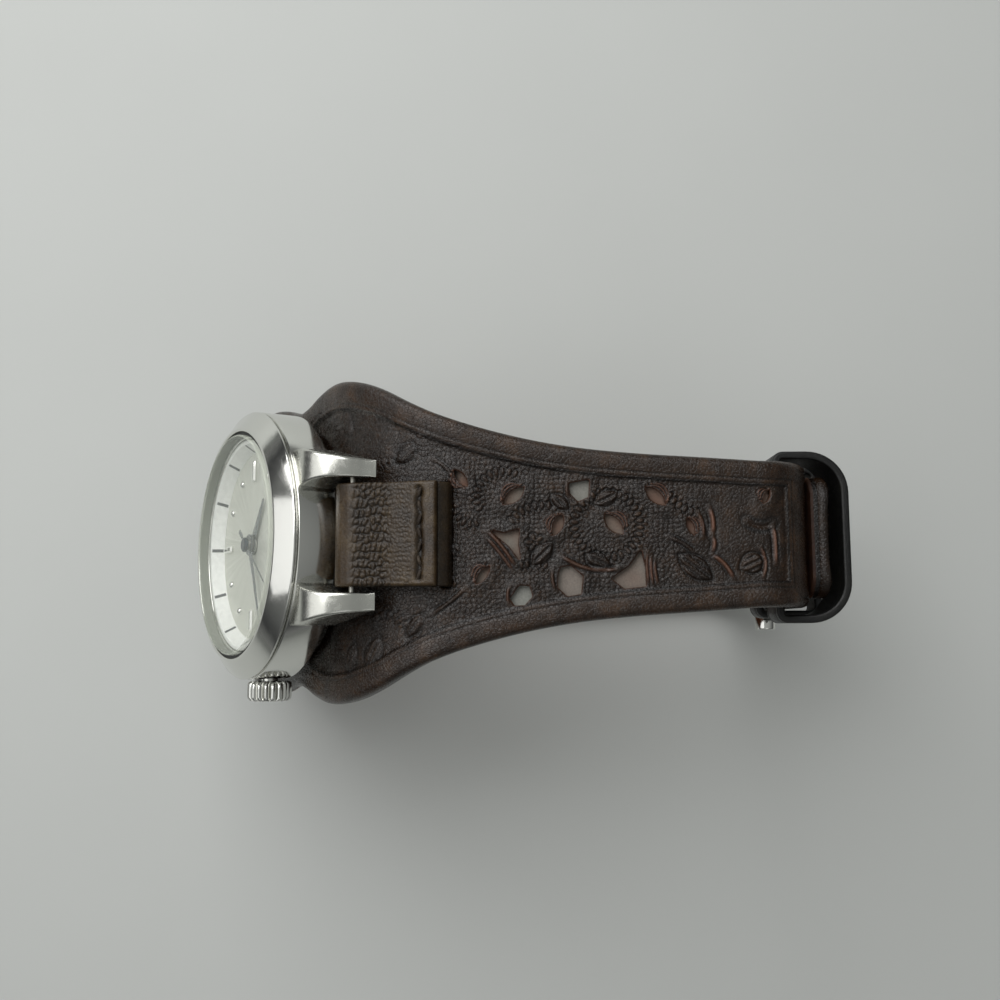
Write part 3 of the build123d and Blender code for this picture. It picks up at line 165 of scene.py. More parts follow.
# Tab
TAB_HALF, PLY, TAB_LENGTH, SLOT_WIDTH = 6.3, 1.25, 11.4, 1.4
BAR_PLACE, BAR_DEPTH, BAR_NOSE = 20.5, 6.5, 2.1
PLY_GAP = 0.1
SEAM_PLACE, STITCH_PITCH = 2.1, 1.65

# Field inside the cuff's border: where it starts, where it ends on the upper and the lower run, and where
# the strap turns plain
FIELD_START, FIELD_ENDS, PLAIN_START = 4.8, (72.5, 66.0), 74
# Share of its width that the border would keep on a strap of no width
BORDER_LEAST = 0.69

# Outlines turned round the dial's axis: radius, and place outward from the head's centre
BAND = (
    (15.4, -0.6),
    (18.0, -0.6),
    (18.0, -5.6),
    (17.55, -6.0),
    (15.4, -6.0),
    (15.4, -1.7),
    (14.35, -1.7),
    (14.35, -0.6),
)
BEZEL = (
    (14.35, -0.58),
    (17.7, -0.58),
    (17.7, -0.28),
    (17.98, -0.28),
    (17.98, 0.0),
    (15.55, 1.74),
    (15.22, 1.74),
    (15.22, 0.55),
    (14.35, 0.55),
)
CAP = ((0.26, -0.14), (1.0, -0.14), (1.0, 0.2), (0.8, 0.34), (0.0, 0.34), (0.0, 0.26), (0.26, 0.26))
# Crown: place along its axis, radius, and share of the flutes' depth
CROWN = (
    (20.12, 0.46, 0),
    (19.17, 0.46, 0),
    (19.17, 1.61, 0),
    (18.26, 1.61, 0),
    (18.26, 2.5, 0),
    (18.36, 2.72, 0.5),
    (18.6, 2.93, 1),
    (19.4, 2.94, 1),
    (20.3, 2.93, 1),
    (20.55, 2.88, 0.9),
    (20.74, 2.76, 0.4),
    (20.87, 2.58, 0),
    (20.89, 2.3, 0),
    (20.86, 1.2, 0),
    (20.86, 0.02, 0),
    (20.12, 0.02, 0),
)
CROWN_DEPTH, FLUTE_DEPTH = 3.9, 0.55
# Lug: where it leaves the band, where its taper starts and how long that is, its outer face and how far it
# draws in, its inner face and the fillet there, and the curve of its back as places up and outward
LUG_ROOT, LUG_START, LUG_RUN = 15.6, 17.2, 6.1
LUG_OUTER, LUG_TAPER, LUG_INNER, LUG_FILLET = 10.9, 1.8, 7.02, 1.1
LUG_ARC = ((18.0, -0.86), (21.9, -1.9), (22.68, -6.5))
# Glass: place outward of its underside, and its rim as radius and place outward
GLASS_FOOT = 0.56
GLASS_RIM = ((14.78, 1.82), (14.72, 2.02), (14.5, 2.09))
DIAL_OUT, RING_OUT, SECOND_OUT = -1.3, 0.38, -0.14
DIAL_HOLE, DIAL_EDGE, DIAL_BACK = 1.36, 14.09, -1.69
RING_FOOT, RING_LIP, RING_EDGE, INK_DEPTH = 12.62, 13.66, 14.19, 0.03
DOME_PLACE, DOME_RADIUS, DOME_HEIGHT = 10.2, 0.5, 0.47
# Baton: its ends along the hour's radius, its half width, and each level's bevel and place outward
BATON_START, BATON_END, BATON_HALF = 8.72, 11.58, 0.44
BATON_LEVELS = ((0.0, DIAL_OUT), (0.0, -1.05), (0.2, -0.82))
# Hour and minute hand: node, body, degrees from twelve, place outward, length, width and bore
HANDS = (
    ("hour_hand", "hours", 305, -0.99, 7.2, 1.5, 1.21),
    ("minute_hand", "minutes", 66, -0.59, 10.4, 1.25, 0.76),
)
# Their boss as radius and height, and the sections of the blades as share of the half width and height
BOSS = ((1.45, 0.0), (1.45, 0.1), (1.33, 0.15))
BLADE = ((-1, 0), (-1, 0.05), (-0.1, 0.14), (0.1, 0.14), (1, 0.05), (1, 0))
NEEDLE = ((-1, 0), (-1, 0.06), (0, 0.13), (1, 0.06), (1, 0))
# Second hand: degrees from twelve, and half width by place along it
SECOND_CLOCK = 36
SECOND_STATIONS = ((-3.4, 0.3), (-2.2, 0.34), (-1.6, 0.16), (0.0, 0.14), (6.0, 0.12), (9.4, 0.06))
# Reach of the dial's brushing in its noise: the larger, the finer its lines
RAYS = 46
# Keepers: node, body, lowest and highest place, half width, places of the inner and the outer wall, corner
# of the outer wall, and how far it leans in at the bottom
KEEPER_WALL, KEEPER_CORNER = 1.0, 1.4
KEEPERS = (
    ("keeper_fixed", "watch", 31.1, 35.5, 10.1, 33.6, 42.3, KEEPER_CORNER, 0.0),
    ("keeper_free", "loose_loop", 38.2, 44.0, 10.8, 34.3, 43.8, 5.2, 0.85),
)
# Buckle's frame: half sizes of its rod, its far end, its half width, the gap from the bar's middle to its
# legs, and an eye as place across and radius
ROD, FRAME_END, FRAME_HALF, EYE_GAP = (1.07, 0.97), (39.95, 15.5), 10.6, 0.3
EYE = ((9.55, 0.66), (9.55, 1.38), (11.65, 1.38), (11.65, 0.66))
# Prong: radius of its ring, line of its leg, and section of its wire
PRONG_RING = 1.1
PRONG_LEG = ((36.6, 25.9), (36.6, 21.4), (41.2, 18.6), (41.85, 14.5))
PRONG_WIRE = ((-0.44, -0.74), (0.44, -0.74), (0.44, 0.74), (-0.44, 0.74))

# Stage, in metres but for the camera's place: the camera's sensor and lens, its place and its turns, the
# lights' places, sizes and shares of the key light's power, and the room's grey from low to high
FLOOR_REACH = 1.5
CAMERA_LENS, CAMERA_PLACE = (36.0, 38.8355), (11.295, 2.086, 179.233)
CAMERA_TURNS = (("X", -0.0167), ("Y", 0.118145), ("Z", -0.00511))
SOFTBOXES = (
    ("key_softbox", (-0.25, -0.13, 0.33), 0.4, 1.0),
    ("fill_softbox", (0.35, 0.1, 0.5), 0.3, 0.08),
    ("front_softbox", (0.0, -0.36, 0.4), 0.42, 0.35),
)
SKY = ((0.0, "#757675"), (0.12, "#3a3b3c"), (1.0, "#a0a2a0"))

ALONG = np.array((0.0, sin(LEAN), cos(LEAN)))
OUTWARD = np.array((0.0, -cos(LEAN), sin(LEAN)))
RIGHT = np.array((1.0, 0.0, 0.0))
UPWARD = np.array((0.0, 0.0, 1.0))
HEAD = np.array((0.0, HEAD_Y, HEAD_Z))


# Sockets of a node that mixes two colours, and its settings to cover and to darken the one under
SHARE, UNDER, OVER = 0, 6, 7
COVER = {"data_type": "RGBA"}
DARKEN = {"data_type": "RGBA", "blend_type": "MULTIPLY", SHARE: 1.0}


def linear(code):
    """Linear colour of an sRGB hex code; any other value stays as it is."""
    if not isinstance(code, str):
        return code
    values = [int(code[place : place + 2], 16) / 255 for place in (1, 3, 5)]
    return tuple(v / 12.92 if v <= 0.04045 else ((v + 0.055) / 1.055) ** 2.4 for v in values) + (1.0,)


def add_node(tree, kind, settings):
    """Adds a node: settings are its own properties, a ramp's stops, or values and links of its sockets.

    A link names the socket that it comes from, or the node whose first socket in use it comes from.
    """
    made = tree.nodes.new("ShaderNode" + kind)
    for key, value in settings.items():
        if isinstance(value, bpy.types.Node):
            value = next(part for part in value.outputs if part.enabled)
        if key == "stops":
            parts = made.color_ramp.elements
            while len(parts) < len(value):
                parts.new(0.5)
            for part, (place, colour) in zip(parts, value):
                part.position, part.color = place, linear(colour)
        elif isinstance(key, str) and hasattr(made, key):
            setattr(made, key, value)
        elif isinstance(value, bpy.types.NodeSocket):
            tree.links.new(value, made.inputs[key])
        else:
            made.inputs[key].default_value = linear(value)
    return made


def new_finish(name, surface, *values):
    """Material with one shader; surface adds its nodes, and returns the shader's settings and links."""
    material = bpy.data.materials.new(name)
    material.use_nodes = True
    material.node_tree.nodes.clear()
    add = partial(add_node, material.node_tree)
    add("OutputMaterial", {"Surface": add("BsdfPrincipled", surface(add, *values))})
    return material


def tanned_leather(add, dyes, grain, grain_depth, roughness, specular, coat):
    """Leather, dyed and waxed: mottled dye, pebbled grain, and darker tooling and painted shade where a mesh
    carries them.
    """
    place = add("TexCoord", {}).outputs["Object"]
    mottle = add("TexNoise", {"Vector": place, "Scale": 1 / (2.6 * MM), "Detail": 5.0, "Roughness": 0.62})
    dye = add("ValToRGB", {"Fac": mottle, "stops": tuple(zip((0.3, 0.52, 0.74), dyes))})
    cells = {"feature": "DISTANCE_TO_EDGE", "Vector": place, "Scale": 1 / (grain * MM), "Randomness": 1.0}
    pebble = add("TexVoronoi", cells)
    crevice = add("MapRange", {"Value": pebble, "From Max": 0.14, "To Min": 0.7})
    grained = add("Mix", {**DARKEN, UNDER: dye, OVER: crevice})
    # The tooled mark darkens it: stain in the cuff's tooling, wrinkles and seams, and painted shade at the
    # tail's tip
    tooled = add("Attribute", {"attribute_name": "tooled"}).outputs["Fac"]
    stained = add("Mix", {**COVER, SHARE: tooled, UNDER: grained, OVER: "#090605"})
    cut = add("Attribute", {"attribute_name": "cut"}).outputs["Fac"]
    raw_edge = add("Mix", {**COVER, SHARE: cut, UNDER: stained, OVER: "#704c3b"})
    fine = add("TexNoise", {"Vector": place, "Scale": 1 / (0.3 * MM), "Detail": 4.0, "Roughness": 0.7})
    gloss = {"To Min": roughness - 0.1, "To Max": roughness + 0.14}
    shine = add("MapRange", {"Value": fine, "From Min": 0.3, "From Max": 0.7, **gloss})
    pores = add("Bump", {"Strength": 0.8, "Distance": 0.07 * MM, "Height": fine})
    relief = add("Bump", {"Strength": grain_depth, "Distance": 0.12 * MM, "Height": crevice, "Normal": pores})
    return {
        "Base Color": raw_edge,
        "Roughness": shine,
        "Normal": relief,
        "Specular IOR Level": specular,
        "Coat Weight": coat,
        "Coat Roughness": 0.3,
    }


def rolled_metal(add, colour, roughness, scratch, scratch_size):
    """Metal, rolled and polished: hairline scratches break the mirror a little."""
    place = add("TexCoord", {}).outputs["Object"]
    lines = {"Scale": 1 / (scratch_size * MM), "Detail": 6.0, "Roughness": 0.65, "Distortion": 0.4}
    hairs = add("TexNoise", {"Vector": place, **lines})
    gloss = {"To Min": roughness, "To Max": roughness + scratch}
    smear = add("MapRange", {"Value": hairs, "From Min": 0.35, "From Max": 0.7, **gloss})
    dents = add("Bump", {"Strength": 0.12, "Distance": 0.01 * MM, "Height": hairs})
    return {"Metallic": 1.0, "Base Color": colour, "Roughness": smear, "Normal": dents}


def moulded_plastic(add, dark, pale, roughness, speckle):
    """Plastic or rubber, moulded: an even colour with the mould's fine frosting."""
    place = add("TexCoord", {}).outputs["Object"]
    frost = add("TexNoise", {"Vector": place, "Scale": 1 / (speckle * MM), "Detail": 3.0})
    tint = add("ValToRGB", {"Fac": frost, "stops": ((0.35, dark), (0.65, pale))})
    grit = add("Bump", {"Strength": 0.2, "Distance": 0.01 * MM, "Height": frost})
    return {"Base Color": tint, "Roughness": roughness, "Normal": grit}


def brushed_dial(add):
    """Brass, silvered and brushed in a sunray: fine lines run out from the centre and catch the light."""
    spread = add("UVMap", {"uv_map": "rays"})
    rays = add("TexNoise", {"Vector": spread, "Scale": 1.0, "Detail": 3.0, "Roughness": 0.6})
    silver = add("ValToRGB", {"Fac": rays, "stops": ((0.3, "#c3c4b9"), (0.7, "#e4e5dc"))})
    shine = add("MapRange", {"Value": rays, "From Min": 0.3, "From Max": 0.7, "To Min": 0.34, "To Max": 0.46})
    lines = add("Bump", {"Strength": 0.15, "Distance": 0.01 * MM, "Height": rays})
    return {"Metallic": 0.35, "Base Color": silver, "Roughness": shine, "Normal": lines}


def mineral_glass(add, tint, veil, roughness):
    """Glass, ground and polished: shows as a thin bright skin, and greener through its edge."""
    place = add("TexCoord", {}).outputs["Object"]
    wear = add("TexNoise", {"Vector": place, "Scale": 1 / (3.0 * MM), "Detail": 6.0})
    gloss = {"To Min": roughness, "To Max": roughness + 0.06}
    smear = add("MapRange", {"Value": wear, "From Min": 0.4, "From Max": 0.7, **gloss})
    return {"Base Color": tint, "IOR": 1.52, "Alpha": veil, "Roughness": smear}


def napped_suede(add):
    """Suede, split and napped: short fibres, pale and pinkish patches, and a painted sheen and painted shade.
    """
    place = add("TexCoord", {}).outputs["Object"]
    patches = add("TexNoise", {"Vector": place, "Scale": 1 / (6.0 * MM), "Detail": 2.0})
    hairs = {"Scale": 1 / (0.22 * MM), "Detail": 5.0, "Roughness": 0.75, "Distortion": 0.6}
    fibres = add("TexNoise", {"Vector": place, **hairs})
    tan = add("ValToRGB", {"Fac": patches, "stops": ((0.36, "#7a7269"), (0.5, "#766459"), (0.64, "#6f5447"))})
    # The worn mark is a painted sheen: it greys the suede towards a pale, even tone in the cut corners
    worn = add("Attribute", {"attribute_name": "worn"}).outputs["Fac"]
    toned = add("Mix", {**COVER, SHARE: worn, UNDER: tan, OVER: "#8b8c86"})
    nap = add("MapRange", {"Value": fibres, "From Min": 0.3, "From Max": 0.7, "To Min": 0.68, "To Max": 1.1})
    coloured = add("Mix", {**DARKEN, UNDER: toned, OVER: nap})
    # The tooled mark here is painted shade, darkening the suede in the slots and at the tail's tip
    painted_shade = add("Attribute", {"attribute_name": "tooled"}).outputs["Fac"]
    shown = add("Mix", {**COVER, SHARE: painted_shade, UNDER: coloured, OVER: "#130e0c"})
    fluff = add("Bump", {"Strength": 0.6, "Distance": 0.06 * MM, "Height": fibres})
    return {
        "Base Color": shown,
        "Roughness": 0.85,
        "Normal": fluff,
        "Specular IOR Level": 0.3,
        "Sheen Weight": 0.12,
        "Sheen Roughness": 0.5,
    }


def wound_copper(add):
    """Copper wire, enamelled and wound: turns lie side by side round the core."""
    place = add("TexCoord", {}).outputs["Object"]
    bands = {"bands_direction": "X", "Vector": place, "Scale": 1 / (0.9 * MM), "Distortion": 0.4}
    turns = add("TexWave", bands).outputs["Fac"]
    # Painted highlight and shade: each turn's crest is paler and the groove between turns darker
    wire = add("ValToRGB", {"Fac": turns, "stops": ((0.2, "#6b3414"), (0.6, "#c0703a"))})
    ridges = add("Bump", {"Strength": 0.6, "Distance": 0.03 * MM, "Height": turns})
    return {"Metallic": 0.9, "Roughness": 0.32, "Base Color": wire, "Normal": ridges}


def laid_paper(add, colour):
    """Paper, pressed smooth: an even pale tone that fades a little from place to place."""
    place = add("TexCoord", {}).outputs["Object"]
    fibre = add("TexNoise", {"Vector": place, "Scale": 30.0, "Detail": 4.0})
    toned = tuple(part * 0.97 for part in colour)
    tint = add("ValToRGB", {"Fac": fibre, "stops": ((0.2, colour), (0.8, toned))})
    return {"Base Color": tint, "Roughness": 0.9}


# Dyes of the leathers and the thread: in the dark, middle and pale parts of their mottling
CUFF_DYES = ("#1a1009", "#2a1c11", "#432f1e")
TAB_DYES = ("#261c10", "#3a2c1a", "#4f4029")
KEEPER_DYES = ("#060606", "#0d0d0c", "#181814")
LINING_DYES = ("#4a2814", "#6a3d20", "#80502e")
THREAD_DYES = ("#1f1812", "#33291f", "#55493b")
# Finishes by a plain name: the material's name, its surface and the surface's values
FINISHES = {
    # Stained and waxed: dark brown with small glints on its grain, blacker in the tooling
    "tooled": ("calf_tooled_stained", tanned_leather, CUFF_DYES, 0.42, 0.8, 0.22, 0.38, 0.04),
    # Wrinkled by its bend: olive brown, glossier than the cuff
    "tab": ("calf_tab_waxed", tanned_leather, TAB_DYES, 0.5, 0.3, 0.28, 0.34, 0.08),
    # Black dye with a smooth wax coat
    "keeper": ("calf_black_waxed", tanned_leather, KEEPER_DYES, 0.3, 0.4, 0.38, 0.35, 0.1),
    # Natural tanned lining, orange brown and dull
    "lining": ("lining_leather_natural", tanned_leather, LINING_DYES, 0.35, 0.25, 0.6, 0.3, 0.0),
    # Split leather with its fibres raised: a dull, soft tan in the cut windows
    "suede": ("split_suede_napped", napped_suede),
    # Polyester thread, twisted and waxed: small dull ridges, a shade paler than the tab
    "thread": ("polyester_thread_waxed", tanned_leather, THREAD_DYES, 0.16, 0.8, 0.5, 0.4, 0.0),
    # Steel polished to a mirror, with the fine scratches of wear
    "polished": ("stainless_steel_polished", rolled_metal, "#dcdcd7", 0.08, 0.1, 1.6),
    # Steel polished and worn dull, for lugs that rub on cuffs and sleeves
    "worn": ("stainless_steel_worn", rolled_metal, "#cfcfc8", 0.18, 0.14, 0.9),
    # Thin steel of the hands: darker than the dial, so that they stand out on it
    "hand": ("stainless_steel_stamped", rolled_metal, "#85878a", 0.14, 0.1, 0.8),
    # Gilt brass, dull gold
    "brass": ("brass_gilt", rolled_metal, "#c9a65a", 0.22, 0.12, 0.5),
    # Nickel plate with a fine grain, grey and soft
    "movement": ("nickel_plate_grained", rolled_metal, "#b9b7b0", 0.28, 0.15, 0.4),
    # Blued steel cap, dark and slightly glossy
    "hub": ("steel_blued", rolled_metal, "#2f3846", 0.3, 0.1, 0.6),
    # Moulded white ring, even and bright
    "ring": ("polycarbonate_moulded_white", moulded_plastic, "#e9eae6", "#f5f6f2", 0.42, 0.6),
    # Printed ink, matt dark grey
    "ink": ("pad_printed_ink", moulded_plastic, "#37383a", "#4a4b4f", 0.55, 0.3),
    # Black rubber, dull
    "gasket": ("nitrile_rubber_moulded", moulded_plastic, "#141414", "#222222", 0.6, 0.25),
    # Cream moulding, even and half dull
    "holder": ("acetal_moulded", moulded_plastic, "#c4c3bb", "#d6d5cd", 0.5, 0.5),
    # Green lacquered board
    "board": ("epoxy_glass_board_etched", moulded_plastic, "#1c3f2a", "#2a5a3b", 0.4, 0.3),
    # Clear polished face: a faint veil and sharp reflections
    "crystal": ("mineral_glass_polished", mineral_glass, "#dfe5dc", 0.12, 0.03),
    # Ground edge of the glass: milky, faintly green
    "crystal_edge": ("mineral_glass_ground_edge", mineral_glass, "#d6dbcd", 0.42, 0.14),
    # Copper turns that catch the light as fine lines
    # Copper turns with a painted highlight along each and painted shade between them
    "copper": ("enamelled_copper_wound", wound_copper),
    # Silvered dial whose brushing fans out from the centre
    "pearl": ("silvered_brass_sunray", brushed_dial),
}
# Finish of each part that the frame already has
NODE_FINISHES = {
    "polished": "case_back crown_tube buckle_bar",
    "gasket": "crystal_gasket case_back_gasket crown_gasket",
    "brass": "centre_wheel seconds_wheel minute_wheel third_wheel intermediate_wheel main_plate train_bridge",
    "movement": "cannon_pinion hour_wheel rotor stator coil_core battery battery_clamp movement_screws stem"
    " clutch_pinion spring_bar_12 spring_bar_6"
    " bar_tip_12_left bar_tip_12_right bar_tip_6_left bar_tip_6_right",
    "copper": "coil_winding",
    "board": "circuit_board",
    "holder": "movement_holder",
}

finishes = {}


def smooth(low, high, value):
    """Smooth step from 0 at low to 1 at high."""
    share = np.clip((value - low) / (high - low), 0, 1)
    return share * share * (3 - 2 * share)


def bell(value, width):
    """1 at zero, falling off smoothly on both sides over a width."""
    return np.exp(-((value / width) ** 2))


def scattered(first, second, seed):
    """Repeatable scatter from 0 to 1 for whole-number places."""
    value = np.sin(first * 127.1 + second * 311.7 + seed * 74.7) * 43758.5453
    return value - np.floor(value)


def cell_marks(along, across, size, seed):
    """Distances to the nearest and the second nearest of scattered points a size apart."""
    nearest, second = np.full((2, *along.shape), 1e9)
    column, row = np.floor(along / size), np.floor(across / size)
    for step in (-1, 0, 1):
        for lift in (-1, 0, 1):
            place = (column + step + 0.15 + 0.7 * scattered(column + step, row + lift, seed)) * size
            level = (row + lift + 0.15 + 0.7 * scattered(column + step, row + lift, seed + 5)) * size
            distance = np.hypot(along - place, across - level)
            second = np.minimum(second, np.maximum(nearest, distance))
            nearest = np.minimum(nearest, distance)
    return nearest, second


def soft_noise(along, across, size, seed):
    """Smooth noise from 0 to 1 with swells of a size."""
    column, row = np.floor(along / size), np.floor(across / size)
    right, up = smooth(0, 1, along / size - column), smooth(0, 1, across / size - row)
    low = scattered(column, row, seed) * (1 - right) + scattered(column + 1, row, seed) * right
    high = scattered(column, row + 1, seed) * (1 - right) + scattered(column + 1, row + 1, seed) * right
    return low * (1 - up) + high * up


def leaf_distance(along, across, leaf):
    """Signed distance to a pointed leaf, and the places along and aside of its middle line."""
    at, level, length, width, lean, rise = leaf[:6]
    size = np.hypot(lean, rise)
    middle = ((along - at) * lean + (across - level) * rise) / size
    side = ((across - level) * lean - (along - at) * rise) / size
    edge = np.abs(side) - width * (1 - (middle / length) ** 2)
    return edge / np.sqrt(1 + (2 * width * middle / length**2) ** 2), middle, side


def leaf_folds(along, across, leaf):
    """Where the carved folds beside a cut leaf are, and how deep in their grooves."""
    middle, side = leaf_distance(along, across, leaf)[1:]
    profile = np.maximum(1 - (middle / (1.15 * leaf[2])) ** 2, 0.04)
    beyond = leaf[6] * side / profile - leaf[3]
    band = smooth(1.2, 1.08, beyond) * smooth(-0.05, 0.08, beyond) * smooth(0.05, 0.2, profile)
    return band, 0.5 - 0.5 * np.cos(2 * pi * beyond / 0.4)


def chain_marks(along, across, chain):
    """Where a chain of loops stamped along an arc is, and how deep in the loops' outlines."""
    at, level, radius, first, last, pitch = chain
    turn = (np.degrees(np.arctan2(across - level, along - at)) - first) % 360
    out = np.hypot(along - at, across - level) - radius
    span = last - first
    loops = max(1, round(radians(span) * radius / pitch))
    place = (turn / span * loops) % 1 - 0.5
    width = min(0.62, radius)
    ring = (np.hypot(place / 0.4, out / width) - 1) * 0.45
    band = smooth(width + 0.2, width + 0.08, np.abs(out)) * (turn <= span)
    return band, bell(ring, 0.12)


def bent(first, middle, last, count):
    """Places on a curve that leaves and meets its end places and leans on the middle one."""
    share = np.linspace(0, 1, count)[:, None]
    first, middle, last = np.array((first, middle, last))
    return (1 - share) ** 2 * first + 2 * share * (1 - share) * middle + share**2 * last


def round_angles(steps):
    """Angles of even steps right round."""
    return np.arange(steps) * 2 * pi / steps


def line_distance(along, across, first, last):
    """Distance to a straight line between two places."""
    run, rise = last[0] - first[0], last[1] - first[1]
    share = np.clip(((along - first[0]) * run + (across - first[1]) * rise) / (run * run + rise * rise), 0, 1)
    return np.hypot(along - first[0] - share * run, across - first[1] - share * rise)


def outline_distance(along, across, corners):
    """Signed distance to a closed outline, negative inside."""
    nearest = np.full(along.shape, 1e9)
    inside = np.zeros(along.shape, bool)
    for first, last in zip(corners, corners[1:] + corners[:1]):
        nearest = np.minimum(nearest, line_distance(along, across, first, last))
        crossing = (first[1] > across) != (last[1] > across)
        rise = last[1] - first[1]
        if rise:
            reach = first[0] + (across - first[1]) * (last[0] - first[0]) / rise
            inside ^= crossing & (along < reach)
    return np.where(inside, -nearest, nearest)


def curve_distance(along, across, places):
    """Distance to the curve that three places bend."""
    line = bent(*places, 9)
    return np.minimum.reduce([line_distance(along, across, *ends) for ends in zip(line[:-1], line[1:])])


# Line in the side view: distances along it, its places, and the way out of it at each
SideLine = namedtuple("SideLine", "distances places outward")


def laid_line(start, heading, legs, left=True):
    """Line laid out by legs of a length and a turn, with its outward side on the left or the right."""
    places, headings, distances = [np.array(start, float)], [heading], [0.0]
    for length, turn in legs:
        steps = max(2, int(length / 0.15))
        for _ in range(steps):
            middle = headings[-1] + turn / steps / 2
            places.append(places[-1] + length / steps * np.array((cos(middle), sin(middle))))
            headings.append(headings[-1] + turn / steps)
            distances.append(distances[-1] + length / steps)
    headings = np.array(headings)
    outward = (1 if left else -1) * np.stack((-np.sin(headings), np.cos(headings)), 1)
    return SideLine(np.array(distances), np.array(places), outward)


def joined_line(first, second):
    """One line from the far end of the first, through the start that both share, to the second's end."""
    parts = zip((-first.distances, first.places, first.outward), second)
    return SideLine(*(np.concatenate((near[:0:-1], far)) for near, far in parts))


def drawn_line(places, left):
    """Line through places in the side view, with its outward side on the left or the right."""
    places = np.array(places, float)
    steps = np.hypot(*np.diff(places, axis=0).T)
    distances = np.concatenate(((0.0,), np.cumsum(steps)))
    heading = np.gradient(places, distances, axis=0)
    heading /= np.linalg.norm(heading, axis=1)[:, None]
    return SideLine(distances, places, (1 if left else -1) * np.stack((-heading[:, 1], heading[:, 0]), 1))


def on_line(line, distance, across, depth):
    """Points at distances along a line, places across the strap and depths into it."""
    place, side = (
        np.stack([np.interp(distance, line.distances, part) for part in parts.T], -1)
        for parts in (line.places, line.outward)
    )
    side /= np.linalg.norm(side, axis=-1)[..., None]
    return np.concatenate((across[..., None], place - side * depth[..., None]), -1)


def strap_line():
    """The strap's outside: from the fold at the buckle, over the top, behind the case, to the tail's tip."""
    start = (HEAD_Y + SEAT_DEPTH * cos(LEAN), HEAD_Z - SEAT_DEPTH * sin(LEAN))
    over, under, right = pi / 2 - LEAN, pi / 2 + LEAN, pi / 2
    top = (
        (FLAT_ABOVE, 0),
        (TOP_BEND * over, -over),
        (TOP_STRAIGHT, 0),
        (BACK_BEND * right, -right),
        (TOP_DROP + NOSE_REACH, 0),
        (NOSE_RADIUS * pi, -pi),
        (FOLD_RISE, 0),
    )
    foot = (
        (FLAT_BELOW, 0),
        (FRONT_BEND * under, under),
        (FOOT_STRAIGHT, 0),
        (BACK_BEND * right, right),
        (FOOT_RISE, 0),
        (STEP_RADIUS * STEP_TURN, -STEP_TURN),
        (STEP_RADIUS * STEP_TURN, STEP_TURN),
        (TAIL_RISE, 0),
    )
    return joined_line(laid_line(start, over, top), laid_line(start, -under, foot, left=False))


STRAP = strap_line()
STRAP_START, STRAP_END = STRAP.distances[0], STRAP.distances[-1]
FOOT_BEND = FLAT_BELOW + FRONT_BEND * (pi / 2 + LEAN) + FOOT_STRAIGHT


def half_width(distance):
    """Half width of the strap by distance from the case, less above zero for the tail."""
    run = np.abs(distance)
    width = hermite(run, np.array(WIDTH_PLACES), np.array(HALF_WIDTHS))
    tail = END_HALF + (TAIL_HALF - END_HALF) * smooth(WIDTH_PLACES[-1], FOOT_BEND, distance)
    width = np.where(distance > WIDTH_PLACES[-1], tail, width)
    end = np.clip(TIP_ROUND - (STRAP_END - distance), 0, TIP_ROUND)
    return width - TIP_ROUND + np.sqrt(np.maximum(TIP_ROUND**2 - end**2, 0))


def hermite(value, places, levels):
    """Smooth curve through places and levels."""
    slopes = np.gradient(levels, places)
    value = np.clip(value, places[0], places[-1])
    index = np.clip(np.searchsorted(places, value, side="right") - 1, 0, len(places) - 2)
    gap = places[index + 1] - places[index]
    share = (value - places[index]) / gap
    low, high = levels[index], levels[index + 1]
    return (
        (1 + 2 * share) * (1 - share) ** 2 * low
        + share * (1 - share) ** 2 * gap * slopes[index]
        + share**2 * (3 - 2 * share) * high
        + share**2 * (share - 1) * gap * slopes[index + 1]
    )


def line_height(height):
    """Distance along the tail where the strap's outside is at a height."""
    tail = STRAP.distances > FOOT_BEND + BACK_BEND
    return float(np.interp(height, STRAP.places[tail, 1], STRAP.distances[tail]))


HOLE_PLACES = tuple(line_height(height) for height in HOLE_HEIGHTS)
PRONG_PLACE = line_height(PRONG_HEIGHT)
TAIL_SPOTS = (*HOLE_PLACES, PRONG_PLACE)


def tail_openings(distance, across):
    """Signed distance to the tail's row of holes and the slot that the prong is through."""
    slot = np.maximum(np.abs(distance - PRONG_PLACE) - PRONG_HOLE / 2 + HOLE_RADIUS, 0)
    reaches = (slot, *(distance - place for place in HOLE_PLACES))
    return np.minimum.reduce([np.hypot(reach, across) for reach in reaches]) - HOLE_RADIUS


def box_distance(along, across, half_along, half_across, corner):
    """Signed distance to a box with round corners."""
    out_along = np.abs(along) - half_along + corner
    out_across = np.abs(across) - half_across + corner
    outside = np.hypot(np.maximum(out_along, 0), np.maximum(out_across, 0))
    return outside + np.minimum(np.maximum(out_along, out_across), 0) - corner


def window_distance(distance, across):
    """Signed distance to the cuff's cut windows."""
    run = np.abs(distance)
    cuts = [leaf_distance(run, across, leaf)[0] for leaf in LEAVES]
    cuts += [outline_distance(run, across, corners) - CORNER_GROWTH for _, corners in CORNERS]
    return np.minimum.reduce(cuts)


def leather_openings(distance, across):
    """Signed distance to all that is cut through the outer leather."""
    nose = NOSE_RADIUS * pi / 2 + NOSE_REACH
    cuts = [
        window_distance(distance, across),
        tail_openings(distance, across),
        box_distance(distance + LINING_STOP + nose, across, nose, 1.05, 0.4),
    ]
    for place in SLOT_PLACES:
        cuts.append(box_distance(distance - place, across, SLOT_WIDTH / 2, TAB_HALF + PLY_GAP, 0.3))
    return np.minimum.reduce(cuts)


